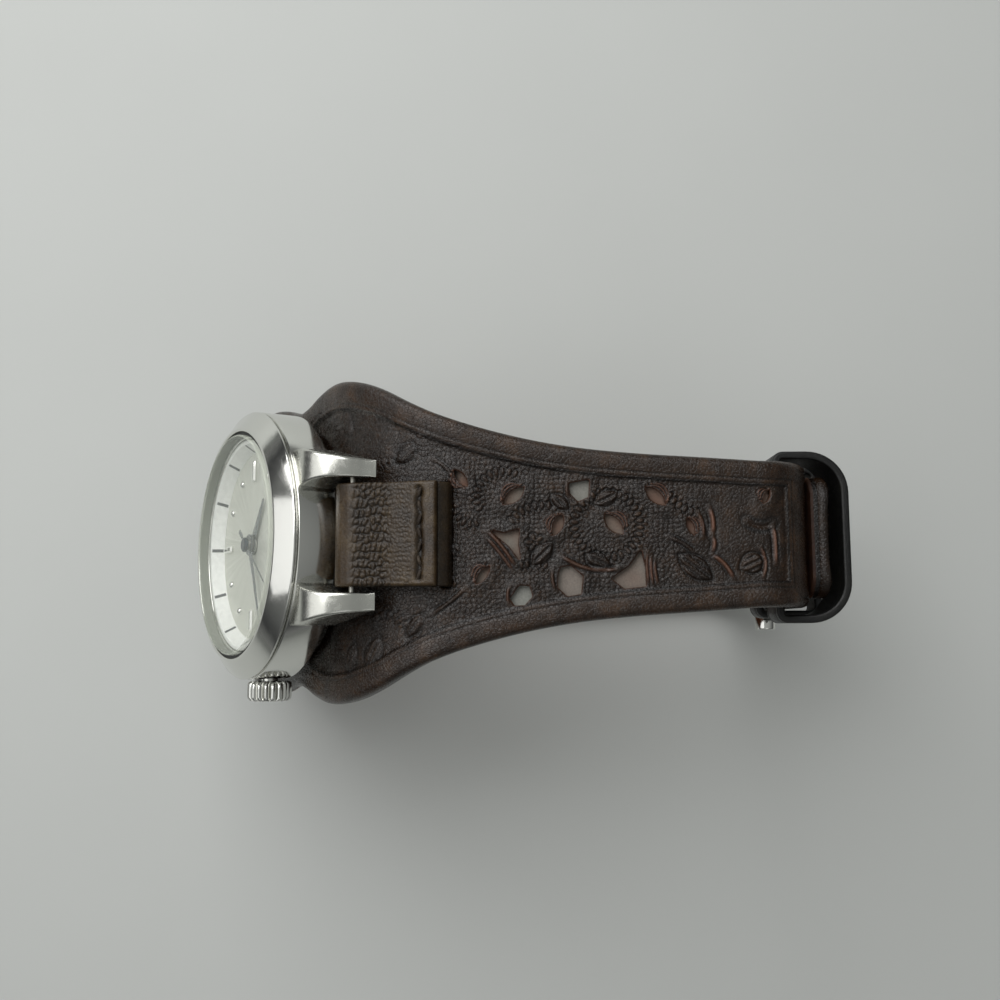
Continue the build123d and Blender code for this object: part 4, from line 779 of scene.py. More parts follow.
def tab_layout():
    """Each tab's bar, bend centre, bend radius, turn, angles of bar and slot, and the slot's place."""
    layout = {}
    for side, up, flat, bend, turn in (
        ("12", BAR_PLACE, FLAT_ABOVE, TOP_BEND, -1),
        ("6", -BAR_PLACE, -FLAT_BELOW, FRONT_BEND, 1),
    ):
        bar = HEAD + ALONG * up - OUTWARD * BAR_DEPTH
        centre = HEAD + ALONG * flat - OUTWARD * (SEAT_DEPTH + bend)
        angle = atan2(bar[2] - centre[2], bar[1] - centre[1]) % (2 * pi)
        start = angle + turn * TAB_LENGTH / (bend + PLY_GAP + 2 * PLY)
        slot = turn * (abs(flat) + bend * abs(start - (pi - LEAN)) + SLOT_WIDTH / 2)
        layout[side] = (bar[1:], centre[1:], bend, turn, angle, start, slot)
    return layout


TABS = tab_layout()
SLOT_PLACES = [tab[-1] for tab in TABS.values()]


def graded(first, last, step, spots=(), fine=0.2, reach=1.5):
    """Places from first to last a step apart, and finer near spots."""
    places = [first]
    while places[-1] < last - 1e-6:
        near = any(abs(places[-1] - spot) < reach for spot in spots)
        places.append(min(last, places[-1] + (fine if near else step)))
    return np.array(places)


def snapped(distance, across, keep, openings):
    """Moves the grid's corners beside an opening onto its outline."""
    rows, columns = keep.shape
    touched, kept = np.zeros((2, rows + 1, columns + 1), bool)
    for down, right in np.ndindex(2, 2):
        place = np.s_[down : rows + down, right : columns + right]
        touched[place] |= ~keep
        kept[place] |= keep
    edge = touched & kept
    at, level = distance[edge], across[edge]
    for _ in range(3):
        here = openings(at, level)
        slope = (openings(at + 0.01, level) - here) / 0.01
        rise = (openings(at, level + 0.01) - here) / 0.01
        size = np.maximum(slope**2 + rise**2, 0.2)
        move = np.clip(here, -0.4, 0.4)
        at, level = at - move * slope / size, level - move * rise / size
    distance, across = distance.copy(), across.copy()
    distance[edge], across[edge] = at, level
    return distance, across


def grid_solid(top, bottom, keep):
    """Closed solid between two matching grids of points, open where keep leaves cells out.

    Returns its shape, which side each face is on (top, bottom or edge) and which of the points it uses.
    """
    rows, columns = keep.shape
    width = columns + 1
    count = (rows + 1) * width
    row, column = np.nonzero(keep)
    corner = row * width + column
    upper = np.stack((corner, corner + 1, corner + width + 1, corner + width), 1)
    faces = [upper, upper[:, ::-1] + count]
    padded = np.pad(keep, 1)
    sides = (
        (padded[1:-1, :-2], 0, width),
        (padded[1:-1, 2:], width + 1, 1),
        (padded[:-2, 1:-1], 1, 0),
        (padded[2:, 1:-1], width, width + 1),
    )
    for neighbour, first, last in sides:
        open_row, open_column = np.nonzero(keep & ~neighbour)
        start = open_row * width + open_column
        faces.append(np.stack((start + last, start + first, start + first + count, start + last + count), 1))
    kinds = np.concatenate([np.full(len(part), min(kind, 2)) for kind, part in enumerate(faces)])
    faces = np.concatenate(faces)
    points = np.concatenate((top.reshape(-1, 3), bottom.reshape(-1, 3)))
    used, renumbered = np.unique(faces, return_inverse=True)
    return (points[used], renumbered.reshape(faces.shape)), kinds, used


def strip_solid(line, distance, across, near, far, keep):
    """Solid between two depths under a line, as grid_solid gives it."""
    top, bottom = (on_line(line, distance, across, depth + 0 * distance) for depth in (near, far))
    return grid_solid(top, bottom, keep)


def both_sides(top, bottom, used):
    """One mark for each point of a solid, from those of its top and its bottom."""
    return np.concatenate((top.ravel(), np.broadcast_to(bottom, top.shape).ravel()))[used]


def add_piece(name, shape, finish, body, node=None, kinds=None, sharp=None, marks=None):
    """Makes a mesh piece from a shape, points in millimetres and faces, and sets it on its body.

    Where a node of the frame is named, the piece is shown in its place.
    """
    points, faces = shape
    mesh = bpy.data.meshes.new(name)
    mesh.from_pydata((np.asarray(points, float) * MM).tolist(), [], [list(map(int, face)) for face in faces])
    for key in [finish] if isinstance(finish, str) else finish:
        mesh.materials.append(finishes[key])
    if kinds is not None:
        mesh.polygons.foreach_set("material_index", np.asarray(kinds, np.int32))
    for key, values in (marks or {}).items():
        mesh.attributes.new(key, "FLOAT", "POINT").data.foreach_set("value", np.asarray(values, np.float32))
    shaped = bmesh.new()
    shaped.from_mesh(mesh)
    bmesh.ops.remove_doubles(shaped, verts=shaped.verts, dist=0.002 * MM)
    bmesh.ops.recalc_face_normals(shaped, faces=shaped.faces)
    shaped.to_mesh(mesh)
    shaped.free()
    mesh.shade_smooth()
    if sharp is not None:
        mesh.set_sharp_from_angle(angle=radians(sharp))
    made = bpy.data.objects.new(name, mesh)
    bpy.context.scene.collection.objects.link(made)
    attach(made, body)
    if node:
        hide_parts(node)
    return made


def on_dial(across, up, out):
    """Points from places on the dial: across, up and outward from the head's centre."""
    across, up, out = np.broadcast_arrays(across, up, out)
    return HEAD + across[..., None] * RIGHT + up[..., None] * ALONG + out[..., None] * OUTWARD


def on_hour(hour, reach, side, out):
    """Points on an hour's radius of the dial: reach along it, aside of it and outward."""
    turn = radians(30 * hour)
    return on_dial(reach * cos(turn) - side * sin(turn), reach * sin(turn) + side * cos(turn), out)


def softened(corners, radius, steps=3, closed=True):
    """Outline with its corners rounded."""
    corners = np.array(corners, float)
    count = len(corners)
    line = []
    for index, corner in enumerate(corners):
        if not closed and index in (0, count - 1):
            line.append(corner)
            continue
        before, after = corners[index - 1], corners[(index + 1) % count]
        back, on = before - corner, after - corner
        back_size, on_size = np.linalg.norm(back), np.linalg.norm(on)
        reach = min(radius, 0.45 * back_size, 0.45 * on_size)
        first, last = corner + back / back_size * reach, corner + on / on_size * reach
        line.extend(bent(first, corner, last, steps + 1))
    return np.array(line)


def turned(profile, steps, level=0):
    """Shape of a closed profile, radius and height, turned right round the dial's axis."""
    radius, out = np.array(profile, float).T
    angles = round_angles(steps)[:, None]
    return looped(on_dial(radius * np.cos(angles), radius * np.sin(angles), level + out), True)


def looped(rings, closed):
    """Shape through rings of points, closed in a loop or capped at both ends."""
    count, size = rings.shape[:2]
    faces = []
    for ring in range(count if closed else count - 1):
        here, there = ring * size, (ring + 1) % count * size
        for place in range(size):
            on = (place + 1) % size
            faces.append((here + place, here + on, there + on, there + place))
    if not closed:
        faces += [tuple(range(size))[::-1], tuple(range((count - 1) * size, count * size))]
    return rings.reshape(-1, 3), faces


def gathered(parts):
    """Several shapes as one."""
    points, faces, count = [], [], 0
    for part_points, part_faces in parts:
        points.append(part_points)
        faces.extend([tuple(index + count for index in face) for face in part_faces])
        count += len(part_points)
    return np.concatenate(points), faces


def swept(path, section, across, closed=False):
    """Section carried along a flat path; across is the direction square to the path's plane."""
    path, section = np.asarray(path, float), np.asarray(section, float)
    if closed:
        heading = np.roll(path, -1, 0) - np.roll(path, 1, 0)
    else:
        heading = np.gradient(path, axis=0)
    heading /= np.linalg.norm(heading, axis=1)[:, None]
    side = np.cross(heading, across)
    rings = path[:, None] + side[:, None] * section[None, :, :1] + across * section[None, :, 1:]
    return looped(rings, closed)


def spaced(line, step, closed=False):
    """Places along straight legs, about a step apart."""
    line = np.array(line, float)
    places = []
    for first, last in zip(line if closed else line[:-1], np.roll(line, -1, 0)):
        steps = max(1, int(np.linalg.norm(last - first) / step))
        places += [first + (last - first) * share for share in np.arange(steps) / steps]
    return np.array(places if closed else [*places, line[-1]])


def oval(width, height, steps):
    """Points round an oval section."""
    angles = round_angles(steps)
    return np.stack((width * np.cos(angles), height * np.sin(angles)), 1)


def length(name, description, size):
    """Property for a length in millimetres."""
    return FloatProperty(name=name, description=description, default=size * MM, unit="LENGTH")


class CuffSizes(bpy.types.PropertyGroup):
    """Sizes of the leather that a user would change."""

    border: length("Border", "Width of the raised border", 3.6)
    carving: length("Carving", "Depth of the ground inside the border", 0.5)
    stamp: length("Stamp", "Size of the stamped marks", 0.6)
    stamp_depth: length("Stamp depth", "Depth of the stamped marks", 0.1)
    stitches: IntProperty(name="Stitches", description="Stitches across a tab", default=7, min=2)
    thread: length("Thread", "Thickness of the thread", 0.45)


class WatchSizes(bpy.types.PropertyGroup):
    """Sizes of the watch head that a user would change."""

    bar_width: length("Bar", "Width of the printed bars", 0.45)
    flutes: IntProperty(name="Flutes", description="Flutes round the crown", default=18, min=6)
    edge: length("Edge", "Rounding of the polished edges", 0.15)


class StageSizes(bpy.types.PropertyGroup):
    """Floor colour and light that a user would change."""

    floor: FloatVectorProperty(
        name="Floor", description="Colour of the floor", default=linear("#c3c5c2"), size=4, subtype="COLOR"
    )
    key: FloatProperty(name="Key light", description="Power of the main light", default=1.55, unit="POWER")


def strap_grid(rows, inner, edges, margin=0.0):
    """Distances and places across of a grid over the strap, closer near its edges."""
    half = half_width(rows) - margin
    edges = np.array(edges)
    left = -half[:, None] + edges[None, :]
    middle = (half - edges[-1])[:, None] * np.linspace(-1, 1, inner)[None, 1:-1]
    across = np.concatenate((left, middle, -left[:, ::-1]), 1)
    return np.repeat(rows[:, None], across.shape[1], 1), across


def cut_grid(grid, openings):
    """Grid with its corners beside the openings moved to their outlines, and the cells that stay."""
    distance, across = grid
    middle_at = (distance[1:, 1:] + distance[:-1, :-1]) / 2
    middle_level = (across[1:, 1:] + across[:-1, :-1] + across[1:, :-1] + across[:-1, 1:]) / 4
    keep = openings(middle_at, middle_level) > 0
    return *snapped(distance, across, keep, openings), keep


def edge_roll(gap, radius):
    """Depth of a rolled edge at a distance in from it."""
    return radius - np.sqrt(np.maximum(radius**2 - np.clip(radius - gap, 0, radius) ** 2, 0))


def field_place(distance, across, border):
    """How far inside the border's crease, less than zero on the border, a place is."""
    run = np.abs(distance)
    gap = half_width(distance) - np.abs(across)
    field_end = np.where(distance < 0, *FIELD_ENDS)
    return np.minimum(np.minimum(gap - border, run - FIELD_START), field_end - run)


def carved_work(run, across, field, windows):
    """Depth, darkness, bareness and calm that folds, leaves, lines and chains add to the field."""
    depth, dark, bare = (np.zeros(run.shape) for _ in range(3))
    calm = smooth(0.4, 0.15, windows)
    for leaf in LEAVES:
        band, fold = leaf_folds(run, across, leaf)
        band = band * field
        depth += band * (0.36 * fold - 0.14)
        dark += band * (1.3 * fold**1.5 - 0.4)
        bare = np.maximum(bare, 0.6 * band * (1 - fold) ** 2)
        calm = np.maximum(calm, band)
    for leaf in CARVED_LEAVES:
        edge, _, side = leaf_distance(run, across, leaf)
        body = smooth(0.1, -0.2, edge)
        veins = 0.5 + 0.5 * np.cos(2 * pi * side / 0.72)
        outline = bell(edge - 0.2, 0.17)
        depth += field * (-0.22 * body + 0.2 * body * veins + 0.18 * outline)
        dark += field * (0.6 * body * veins + 0.6 * outline)
        calm = np.maximum(calm, smooth(0.35, 0.0, edge))
    for height, width, bareness, places in CARVED_LINES:
        apart = curve_distance(run, across, places)
        slim = field.copy()
        for place in (places[0], places[-1]):
            slim *= smooth(0.0, 1.1, np.hypot(run - place[0], across - place[1]))
        ridge = bell(apart, 1.2 * width) * slim
        groove = bell(apart - 2.6 * width, 1.1 * width) * slim
        depth += 0.14 * groove - height * ridge
        dark += 0.75 * groove - 0.35 * ridge
        bare = np.maximum(bare, bareness * ridge)
        calm = np.maximum(calm, smooth(4 * width, 2.5 * width, apart) * 0.9)
    clear = smooth(0.05, 0.3, windows)
    for chain in CHAINS:
        band, ring = chain_marks(run, across, chain)
        band = band * field * clear * (1 - calm)
        depth += band * (0.3 * ring - 0.12)
        dark += band * (1.1 * ring - 0.25)
        calm = np.maximum(calm, band)
    return depth, dark, bare, calm


def tooled_surface(distance, across, sizes):
    """Depth of the tooled leather's surface, and how dark and how raw it is."""
    run = np.abs(distance)
    half = half_width(distance)
    gap = half - np.abs(across)
    border = sizes.border / MM * (BORDER_LEAST + half / CUFF_HALF * (1 - BORDER_LEAST))
    inside = field_place(distance, across, border)
    field = smooth(0, 0.4, inside)
    windows = window_distance(distance, across)
    # The border with its two creases, and the ground sunk inside them
    crease = bell(inside - 0.08, 0.17)
    second_crease = bell(inside + 0.6, 0.11) * (run < PLAIN_START)
    depth = sizes.carving / MM * field
    depth += 0.16 * smooth(0.45, 1.0, gap / border) * (inside < 0)
    depth += 0.24 * crease + 0.09 * second_crease - 0.14 * smooth(1.5, 0.6, windows) * field
    dark = 0.95 * crease + 0.7 * second_crease + 0.3 * field
    carved_depth, carved_dark, bare, calm = carved_work(run, across, field, windows)
    depth += carved_depth
    dark += carved_dark

    # Stamped marks, laid elsewhere on the lower run so that the two aren't alike, and the hide's own swells
    nearest, second = cell_marks(run + 40 * (distance > 0), across, sizes.stamp / MM, 3)
    groove = smooth(0.22, 0.02, second - nearest)
    quiet = np.where(distance < 0, smooth(63, 56, run), 1.0) * 0.7 + 0.3
    stamped = field * (1 - calm) * quiet
    depth += sizes.stamp_depth / MM * stamped * (groove + 0.35 * smooth(0.16, 0.0, nearest))
    depth += 0.12 * field * (soft_noise(distance, across, 2.4, 1) - 0.5)
    depth += 0.06 * (soft_noise(distance, across, 1.3, 7) - 0.5) * smooth(0.3, 1.0, gap)
    dark += 0.5 * stamped * groove
    # Ripples pinched up between the tab's end and the first windows
    wavy = run + 0.35 * soft_noise(run, across, 1.6, 9)
    beside_slot = smooth(30.3, 30.8, run) * smooth(32.2, 31.6, run) * smooth(7.6, 6.8, np.abs(across))
    ripple = beside_slot * (distance < 0) * (0.5 + 0.5 * np.cos(2 * pi * wavy / 0.45))
    depth += 0.16 * ripple
    dark += 0.6 * ripple

    # The plain strap's one crease, the edges of all that is cut, and the rolled rim
    side_crease = bell(gap - 1.15, 0.12) * smooth(0.0, 1.0, run - PLAIN_START)
    side_crease *= smooth(0.5, 3.5, STRAP_END - distance)
    cut_edge = smooth(0.22, 0.0, leather_openings(distance, across))
    rim = np.where(run < PLAIN_START, gap, np.minimum(gap, STRAP_END - distance))
    depth += 0.12 * side_crease + 0.12 * cut_edge**2
    depth += edge_roll(np.minimum(rim, 1.0), 1.0) * np.where(run < 80, 1.0, 0.6)
    # The last term is painted shade, darker towards the tail's tip
    dark += 0.6 * side_crease + 0.35 * cut_edge + 0.6 * smooth(2.0, 0.5, STRAP_END - distance)
    raw = np.maximum(0.35 * smooth(0.14, 0.02, windows), bare)
    return np.maximum(depth, 0.0), np.clip(dark, 0, 1) * 0.92, raw


class CUFF_OT_leather(bpy.types.Operator):
    """Tooled outer leather, its suede underlay and its lining"""

    bl_idname = "cuff.leather"
    bl_label = "Tooled leather"

    def execute(self, context):
        bands = (
            graded(STRAP_START, -74.0, 0.5, (-97.0,), 0.25, 6.0)[:-1],
            graded(-74.0, -28.0, 0.13)[:-1],
            graded(-28.0, 30.0, 0.3)[:-1],
            graded(30.0, 64.0, 0.2)[:-1],
            graded(64.0, STRAP_END, 0.5, TAIL_SPOTS, 0.2, 2.4),
        )
        grid = strap_grid(np.concatenate(bands), 176, (0, 0.05, 0.14, 0.28, 0.46, 0.7, 1.0))
        distance, across, keep = cut_grid(grid, leather_openings)
        depth, dark, raw = tooled_surface(distance, across, context.scene.cuff_sizes)
        gap = np.minimum(half_width(distance) - np.abs(across), STRAP_END - distance)
        lip = UPPER_DEPTH + (SUEDE_DEPTH - UPPER_DEPTH) * smooth(0.7, 0.5, gap) * (distance > -LINING_STOP)
        depth = np.minimum(depth, UPPER_DEPTH - 0.05)
        shape, _, used = strip_solid(STRAP, distance, across, depth, lip, keep)
        marks = {"tooled": both_sides(dark, 0.3, used), "cut": both_sides(raw, raw, used)}
        name, slot = "cuff_tooled_leather", "leather_tooled"
        add_piece(name, shape, "tooled", "watch", "cuff_upper", marks=marks)
        self.suede()
        self.lining()
        return {"FINISHED"}

    def under_grid(self, margin):
        """Grid of a layer under the outer leather with the tail's holes cut, and its distance to the edge."""
        rows = graded(-LINING_STOP, STRAP_END - margin, 0.8, TAIL_SPOTS, 0.2, 2.4)
        distance, across, keep = cut_grid(strap_grid(rows, 72, (0, 0.1, 0.25, 0.45), margin), tail_openings)
        gap = np.minimum(half_width(distance) - margin - np.abs(across), STRAP_END - margin - distance)
        return distance, across, keep, gap

    def suede(self):
        """Underlay, greyed by a painted sheen in the cut corners and darkened by painted shade at the slots
        and the tail's tip.
        """
        distance, across, keep, _ = self.under_grid(0.75)
        shape, _, used = strip_solid(STRAP, distance, across, UPPER_DEPTH, SUEDE_DEPTH, keep)
        worn = np.zeros(distance.shape)
        # A painted sheen greys the suede in and around the cut corners
        for pale_sheen, corners in CORNERS:
            apart = outline_distance(np.abs(distance), across, corners)
            worn = np.maximum(worn, pale_sheen * smooth(1.2, 0.3, apart) * (distance < 0))
        # Painted shade darkens the suede in the slots and at the tail's tip
        painted_shade = smooth(3.0, 1.5, STRAP_END - distance)
        for place in SLOT_PLACES:
            painted_shade = np.maximum(painted_shade, smooth(1.6, 1.0, np.abs(distance - place)))
        marks = {"worn": both_sides(worn, worn, used), "tooled": 0.95 * both_sides(painted_shade, painted_shade, used)}
        add_piece("cuff_suede", shape, "suede", "watch", "cuff_underlay", sharp=50, marks=marks)

    def lining(self):
        """Lining, with a rolled edge in the cuff's colour and painted shade darkening its tip."""
        distance, across, keep, gap = self.under_grid(0.06)
        deep = STRAP_DEPTH - edge_roll(gap, 0.45)
        shape, kinds, used = strip_solid(STRAP, distance, across, SUEDE_DEPTH, deep, keep)
        # Painted shade darkens the last few millimetres of the tail's tip on both faces
        painted_shade = smooth(3.0, 1.5, STRAP_END - distance)
        marks = {"tooled": 0.95 * both_sides(painted_shade, 0.85 * painted_shade, used)}
        name, looks, node = "cuff_lining_leather", ("lining", "lining", "tooled"), "cuff_lining"
        add_piece(name, shape, looks, "watch", node, kinds=kinds, sharp=50, marks=marks)


class CUFF_OT_tabs(bpy.types.Operator):
    """Leather tabs folded round the spring bars, with their stitches"""

    bl_idname = "cuff.tabs"
    bl_label = "Tabs"

    def execute(self, context):
        for side in TABS:
            line = self.tab_line(side)
            self.tab(side, line)
            self.stitches(side, line, context.scene.cuff_sizes)
        return {"FINISHED"}

    def tab_line(self, side):
        """Outside of a tab's strip: out of the slot, along the cuff, round the bar and back on top."""
        bar, centre, bend, turn, angle, start, _ = TABS[side]
        leg = start + turn * 0.18 / bend

        def round_bend(radius, at):
            return centre + radius * np.array((cos(at), sin(at)))

        low, high = bend + PLY_GAP, bend + PLY_GAP + 2 * PLY
        far = np.hypot(*(bar - centre))
        places = [round_bend(bend - UPPER_DEPTH + 0.05, leg), round_bend(low - 0.3, leg)]
        for share in np.linspace(0.06, 0.8, 12):
            places.append(round_bend(low, leg + (angle - leg) * share))
        places.append(round_bend((low + far - BAR_NOSE) / 2, leg + (angle - leg) * 0.9))
        for sweep in np.linspace(0, pi, 15):
            at = angle + pi + turn * sweep
            places.append(bar + BAR_NOSE * np.array((cos(at), sin(at))))
        for share in np.linspace(0.08, 1, 24):
            level = far + BAR_NOSE + (high - far - BAR_NOSE) * smooth(0.0, 0.5, share)
            places.append(round_bend(level, angle + (start - angle) * share))
        return drawn_line(places, left=turn < 0)

    def tab(self, side, line):
        """One tab: fine grain on its end, wrinkles where it bends, and a pressed seam."""
        length = line.distances[-1]
        edges = np.array((0, 0.04, 0.12, 0.25, 0.4))
        inner = (TAB_HALF - edges[-1]) * np.linspace(-1, 1, 104)[1:-1]
        columns = np.concatenate((-TAB_HALF + edges, inner, TAB_HALF - edges[::-1]))
        distance, across = np.meshgrid(np.linspace(0, length, 230), columns, indexing="ij")
        from_side, from_end = TAB_HALF - np.abs(across), length - distance
        nearest, second = cell_marks(from_end * 1.5 + 0.3 * across, across * 0.9, 0.52, 11)
        fine = smooth(0.2, 0.0, second - nearest) * smooth(2.8, 3.4, from_end) * smooth(10.6, 9.6, from_end)
        nearest, second = cell_marks(from_end * 1.35 - 0.35 * across, across * 0.8, 0.85, 19)
        bend_share = smooth(11.0, 9.6, from_end) * smooth(5.4, 6.8, from_end)
        wrinkle = smooth(0.34, 0.0, second - nearest) * bend_share
        away = np.abs(from_end - SEAM_PLACE - 0.25 * (soft_noise(across, 0 * across, 0.8, 5) - 0.5))
        seam = bell(away, 0.42) * smooth(0.3, 1.0, from_side)
        depth = 0.1 * fine + 0.24 * wrinkle + 0.34 * seam + 0.04
        depth += 0.08 * smooth(13.0, 10.8, from_end) * (soft_noise(from_end, across, 1.6, 4) - 0.5)
        depth += edge_roll(np.minimum(np.minimum(from_side, from_end), 0.4), 0.4) * 0.9
        inward = PLY - edge_roll(np.minimum(from_side, 0.2), 0.2)
        keep = np.ones(np.subtract(distance.shape, 1), bool)
        shape, _, used = strip_solid(line, distance, across, np.maximum(depth, 0), inward, keep)
        dark = np.clip(0.4 * fine + 0.55 * wrinkle + 0.95 * seam, 0, 1)
        marks = {"tooled": both_sides(dark, 0.5, used)}
        node = f"tab_{side}"
        add_piece(f"{node}_leather", shape, "tab", "watch", node, marks=marks)

    def stitches(self, side, line, sizes):
        """Slanting stitches that sink into the seam at their ends."""
        thread = sizes.thread / MM / 2
        reach = np.linspace(-0.68, 0.68, 9)
        lift = 0.42 - 0.24 * (1 - (reach / 0.68) ** 2)
        slim = np.sqrt(np.maximum(1 - (reach / 0.78) ** 2, 0.05))
        section = oval(thread, thread * 0.8, 8)
        stitches = []
        for place in range(sizes.stitches):
            across = (place - (sizes.stitches - 1) / 2) * STITCH_PITCH + reach
            at = line.distances[-1] - SEAM_PLACE + 0.25 * np.where(place % 2, 1, -1) * reach
            path = on_line(line, at, across, lift)
            outward = path - on_line(line, at, across, lift + 1)
            sideways = np.cross(RIGHT, outward)[:, None] * section[None, :, :1]
            rings = (
                path[:, None]
                + sideways * slim[:, None, None]
                + outward[:, None] * section[None, :, 1:] * slim[:, None, None]
            )
            stitches.append(looped(rings, False))
        add_piece(f"tab_{side}_stitches", gathered(stitches), "thread", "watch")


class CUFF_OT_case(bpy.types.Operator):
    """Case band with its lugs, bezel and crystal"""

    bl_idname = "cuff.case"
    bl_label = "Case and crystal"

    def execute(self, context):
        edge = context.scene.watch_sizes.edge / MM
        band = turned(softened(BAND, edge), 160)
        shape = gathered([band, *(self.lug(across, up) for across in (1, -1) for up in (1, -1))])
        kinds = [0] * len(band[1]) + [1] * (len(shape[1]) - len(band[1]))
        name, looks, slot = "case_band_and_lugs", ("polished", "worn"), "polished_steel"
        add_piece(name, shape, looks, "watch", "case_middle", kinds=kinds, sharp=55)
        bezel = turned(softened(BEZEL, edge), 192)
        add_piece("bezel_polished", bezel, "polished", "watch", "bezel", sharp=40)
        rim = softened(GLASS_RIM, 0.1, closed=False)
        profile = [(0, GLASS_FOOT), (rim[0][0], GLASS_FOOT), *rim, (0, rim[-1][1])]
        glass = turned(profile, 128)
        kinds = [int(1 <= face % len(profile) <= len(profile) - 3) for face in range(len(glass[1]))]
        looks, name = ("crystal", "crystal_edge"), "crystal_glass"
        add_piece(name, glass, looks, "watch", "crystal", kinds=kinds, sharp=40)
        return {"FINISHED"}

    def lug(self, across, up):
        """One lug: sections between its top and underside lines, with soft corners."""
        arc = bent(*LUG_ARC, 12)
        top = [(12.6, -0.9), (16.0, -0.85), (17.7, -0.85), *arc, (22.9, -7.4), (23.22, -8.3)]
        sole = [(place, -6.0 - 2.6 * (place - LUG_START) / LUG_RUN) for place in np.linspace(17.6, 22.3, 12)]
        under = [(12.6, -5.95), (15.5, -5.97), (LUG_START, -6.0), *sole, (22.7, -8.36), (23.0, -8.47)]
        sections = []
        for (high_up, high), (low_up, low) in zip(top, under):
            ends = np.array((high_up, low_up))
            reach = np.clip((ends - LUG_START) / LUG_RUN, 0, 1)
            outer = LUG_OUTER - LUG_TAPER * reach
            inner = LUG_INNER - LUG_FILLET * (1 - reach) ** 2.9 * (ends > LUG_ROOT)
            corners = ((inner[0], high), (outer[0], high), (outer[1], low), (inner[1], low))
            ring = softened(corners, 0.42, 4)
            along = low_up + (ring[:, 1] - low) / (high - low) * (high_up - low_up)
            sections.append(on_dial(across * ring[:, 0], up * along, ring[:, 1]))
        return looped(np.array(sections), False)


class CUFF_OT_dial(bpy.types.Operator):
    """Dial with its rays, chapter ring, printed bars, batons and domes"""

    bl_idname = "cuff.dial"
    bl_label = "Dial"

    def execute(self, context):
        rings = ((radius, DIAL_OUT) for radius in (DIAL_HOLE, 4.0, 8.0, 12.0, DIAL_EDGE))
        plate = turned((*rings, (DIAL_EDGE, DIAL_BACK), (DIAL_HOLE, DIAL_BACK)), 180)
        plate = add_piece("dial_plate", plate, "pearl", "watch", "dial", sharp=40)
        rays = plate.data.uv_layers.new(name="rays")
        for loop in plate.data.loops:
            place = np.array(plate.data.vertices[loop.vertex_index].co) / MM - HEAD
            turn = atan2(place @ ALONG, place[0])
            rays.data[loop.index].uv = (RAYS * cos(turn), RAYS * sin(turn))
        profile = ((RING_FOOT, DIAL_OUT), (RING_LIP, RING_OUT), (RING_EDGE, RING_OUT), (RING_EDGE, DIAL_OUT))
        ring = turned(softened(profile, 0.08), 160)
        add_piece("ring_white", ring, "ring", "watch", "chapter_ring", sharp=40)
        self.bars(context.scene.watch_sizes.bar_width / MM)
        self.markers()
        return {"FINISHED"}

    def bars(self, width):
        """Printed hour bars on the ring's slope."""
        bars = []
        slope = np.array((RING_LIP - RING_FOOT, RING_OUT - DIAL_OUT))
        lift = np.array((-slope[1], slope[0])) / np.hypot(*slope) * INK_DEPTH
        side, rise = np.array(((-1, -1), (-1, 1), (1, 1), (1, -1))).T
        for hour in range(12):
            rings = []
            for share in np.linspace(0.1, 0.93, 6):
                radius, out = np.array((RING_FOOT, DIAL_OUT)) + slope * share
                rings.append(on_hour(hour, radius + lift[0] * rise, side * width / 2, out + lift[1] * rise))
            bars.append(looped(np.array(rings), False))
        add_piece("hour_bars_printed", gathered(bars), "ink", "watch", sharp=40)

    def markers(self):
        """Four polished batons and eight polished domes."""
        batons, domes = [], []
        angles = round_angles(24)
        for hour in range(12):
            rings = []
            if hour % 3 == 0:
                for bevel, level in BATON_LEVELS:
                    low, high, half = BATON_START + bevel, BATON_END - bevel, BATON_HALF - bevel
                    outline = softened(((low, -half), (high, -half), (high, half), (low, half)), 0.1, 2)
                    rings.append(on_hour(hour, *outline.T, level))
                batons.append(looped(np.array(rings), False))
                continue
            for rise in np.linspace(0, pi / 2, 8):
                radius = DOME_RADIUS * max(cos(rise), 0.04)
                reach, side = radius * np.cos(angles), radius * np.sin(angles)
                rings.append(on_hour(hour, DOME_PLACE + reach, side, DIAL_OUT + DOME_HEIGHT * sin(rise)))
            domes.append(looped(np.array(rings), False))
        for name, shapes, sharp in (("hour_batons", batons, 30), ("hour_domes", domes, 60)):
            shape = gathered(shapes)
            add_piece(f"{name}_polished", shape, "polished", "watch", name, sharp=sharp)


class CUFF_OT_hands(bpy.types.Operator):
    """Hour, minute and second hands"""

    bl_idname = "cuff.hands"
    bl_label = "Hands"

    def execute(self, context):
        for name, body, clock, level, length, width, bore in HANDS:
            stations = ((1.1, width / 2), (1.8, width / 2), (length - 1.2, width / 4), (length, width / 7))
            boss = softened(((bore, 0.0), *BOSS, (bore, BOSS[-1][1])), 0.03, 2)
            shape = gathered([self.blade(clock, level, stations, BLADE), turned(boss, 48, level)])
            add_piece(f"{name}_polished", shape, "hand", body, name, sharp=25)
        blade = self.blade(SECOND_CLOCK, SECOND_OUT, SECOND_STATIONS, NEEDLE)
        cap = turned(softened(CAP, 0.06), 40)
        kinds = [0] * len(blade[1]) + [1] * len(cap[1])
        shape, looks, node = gathered([blade, cap]), ("hand", "hub"), "second_hand"
        add_piece("second_hand_blued", shape, looks, "seconds", node, kinds=kinds, sharp=30)
        return {"FINISHED"}

    def blade(self, clock, level, stations, section):
        """Faceted blade turned clockwise from twelve: a section in shares of its half width, by stations."""
        turn = radians(clock)
        side, height = np.array(section).T
        rings = []
        for up, half in stations:
            across = side * half
            place = across * cos(turn) + up * sin(turn), up * cos(turn) - across * sin(turn)
            rings.append(on_dial(*place, level + height))
        return looped(np.array(rings), False)


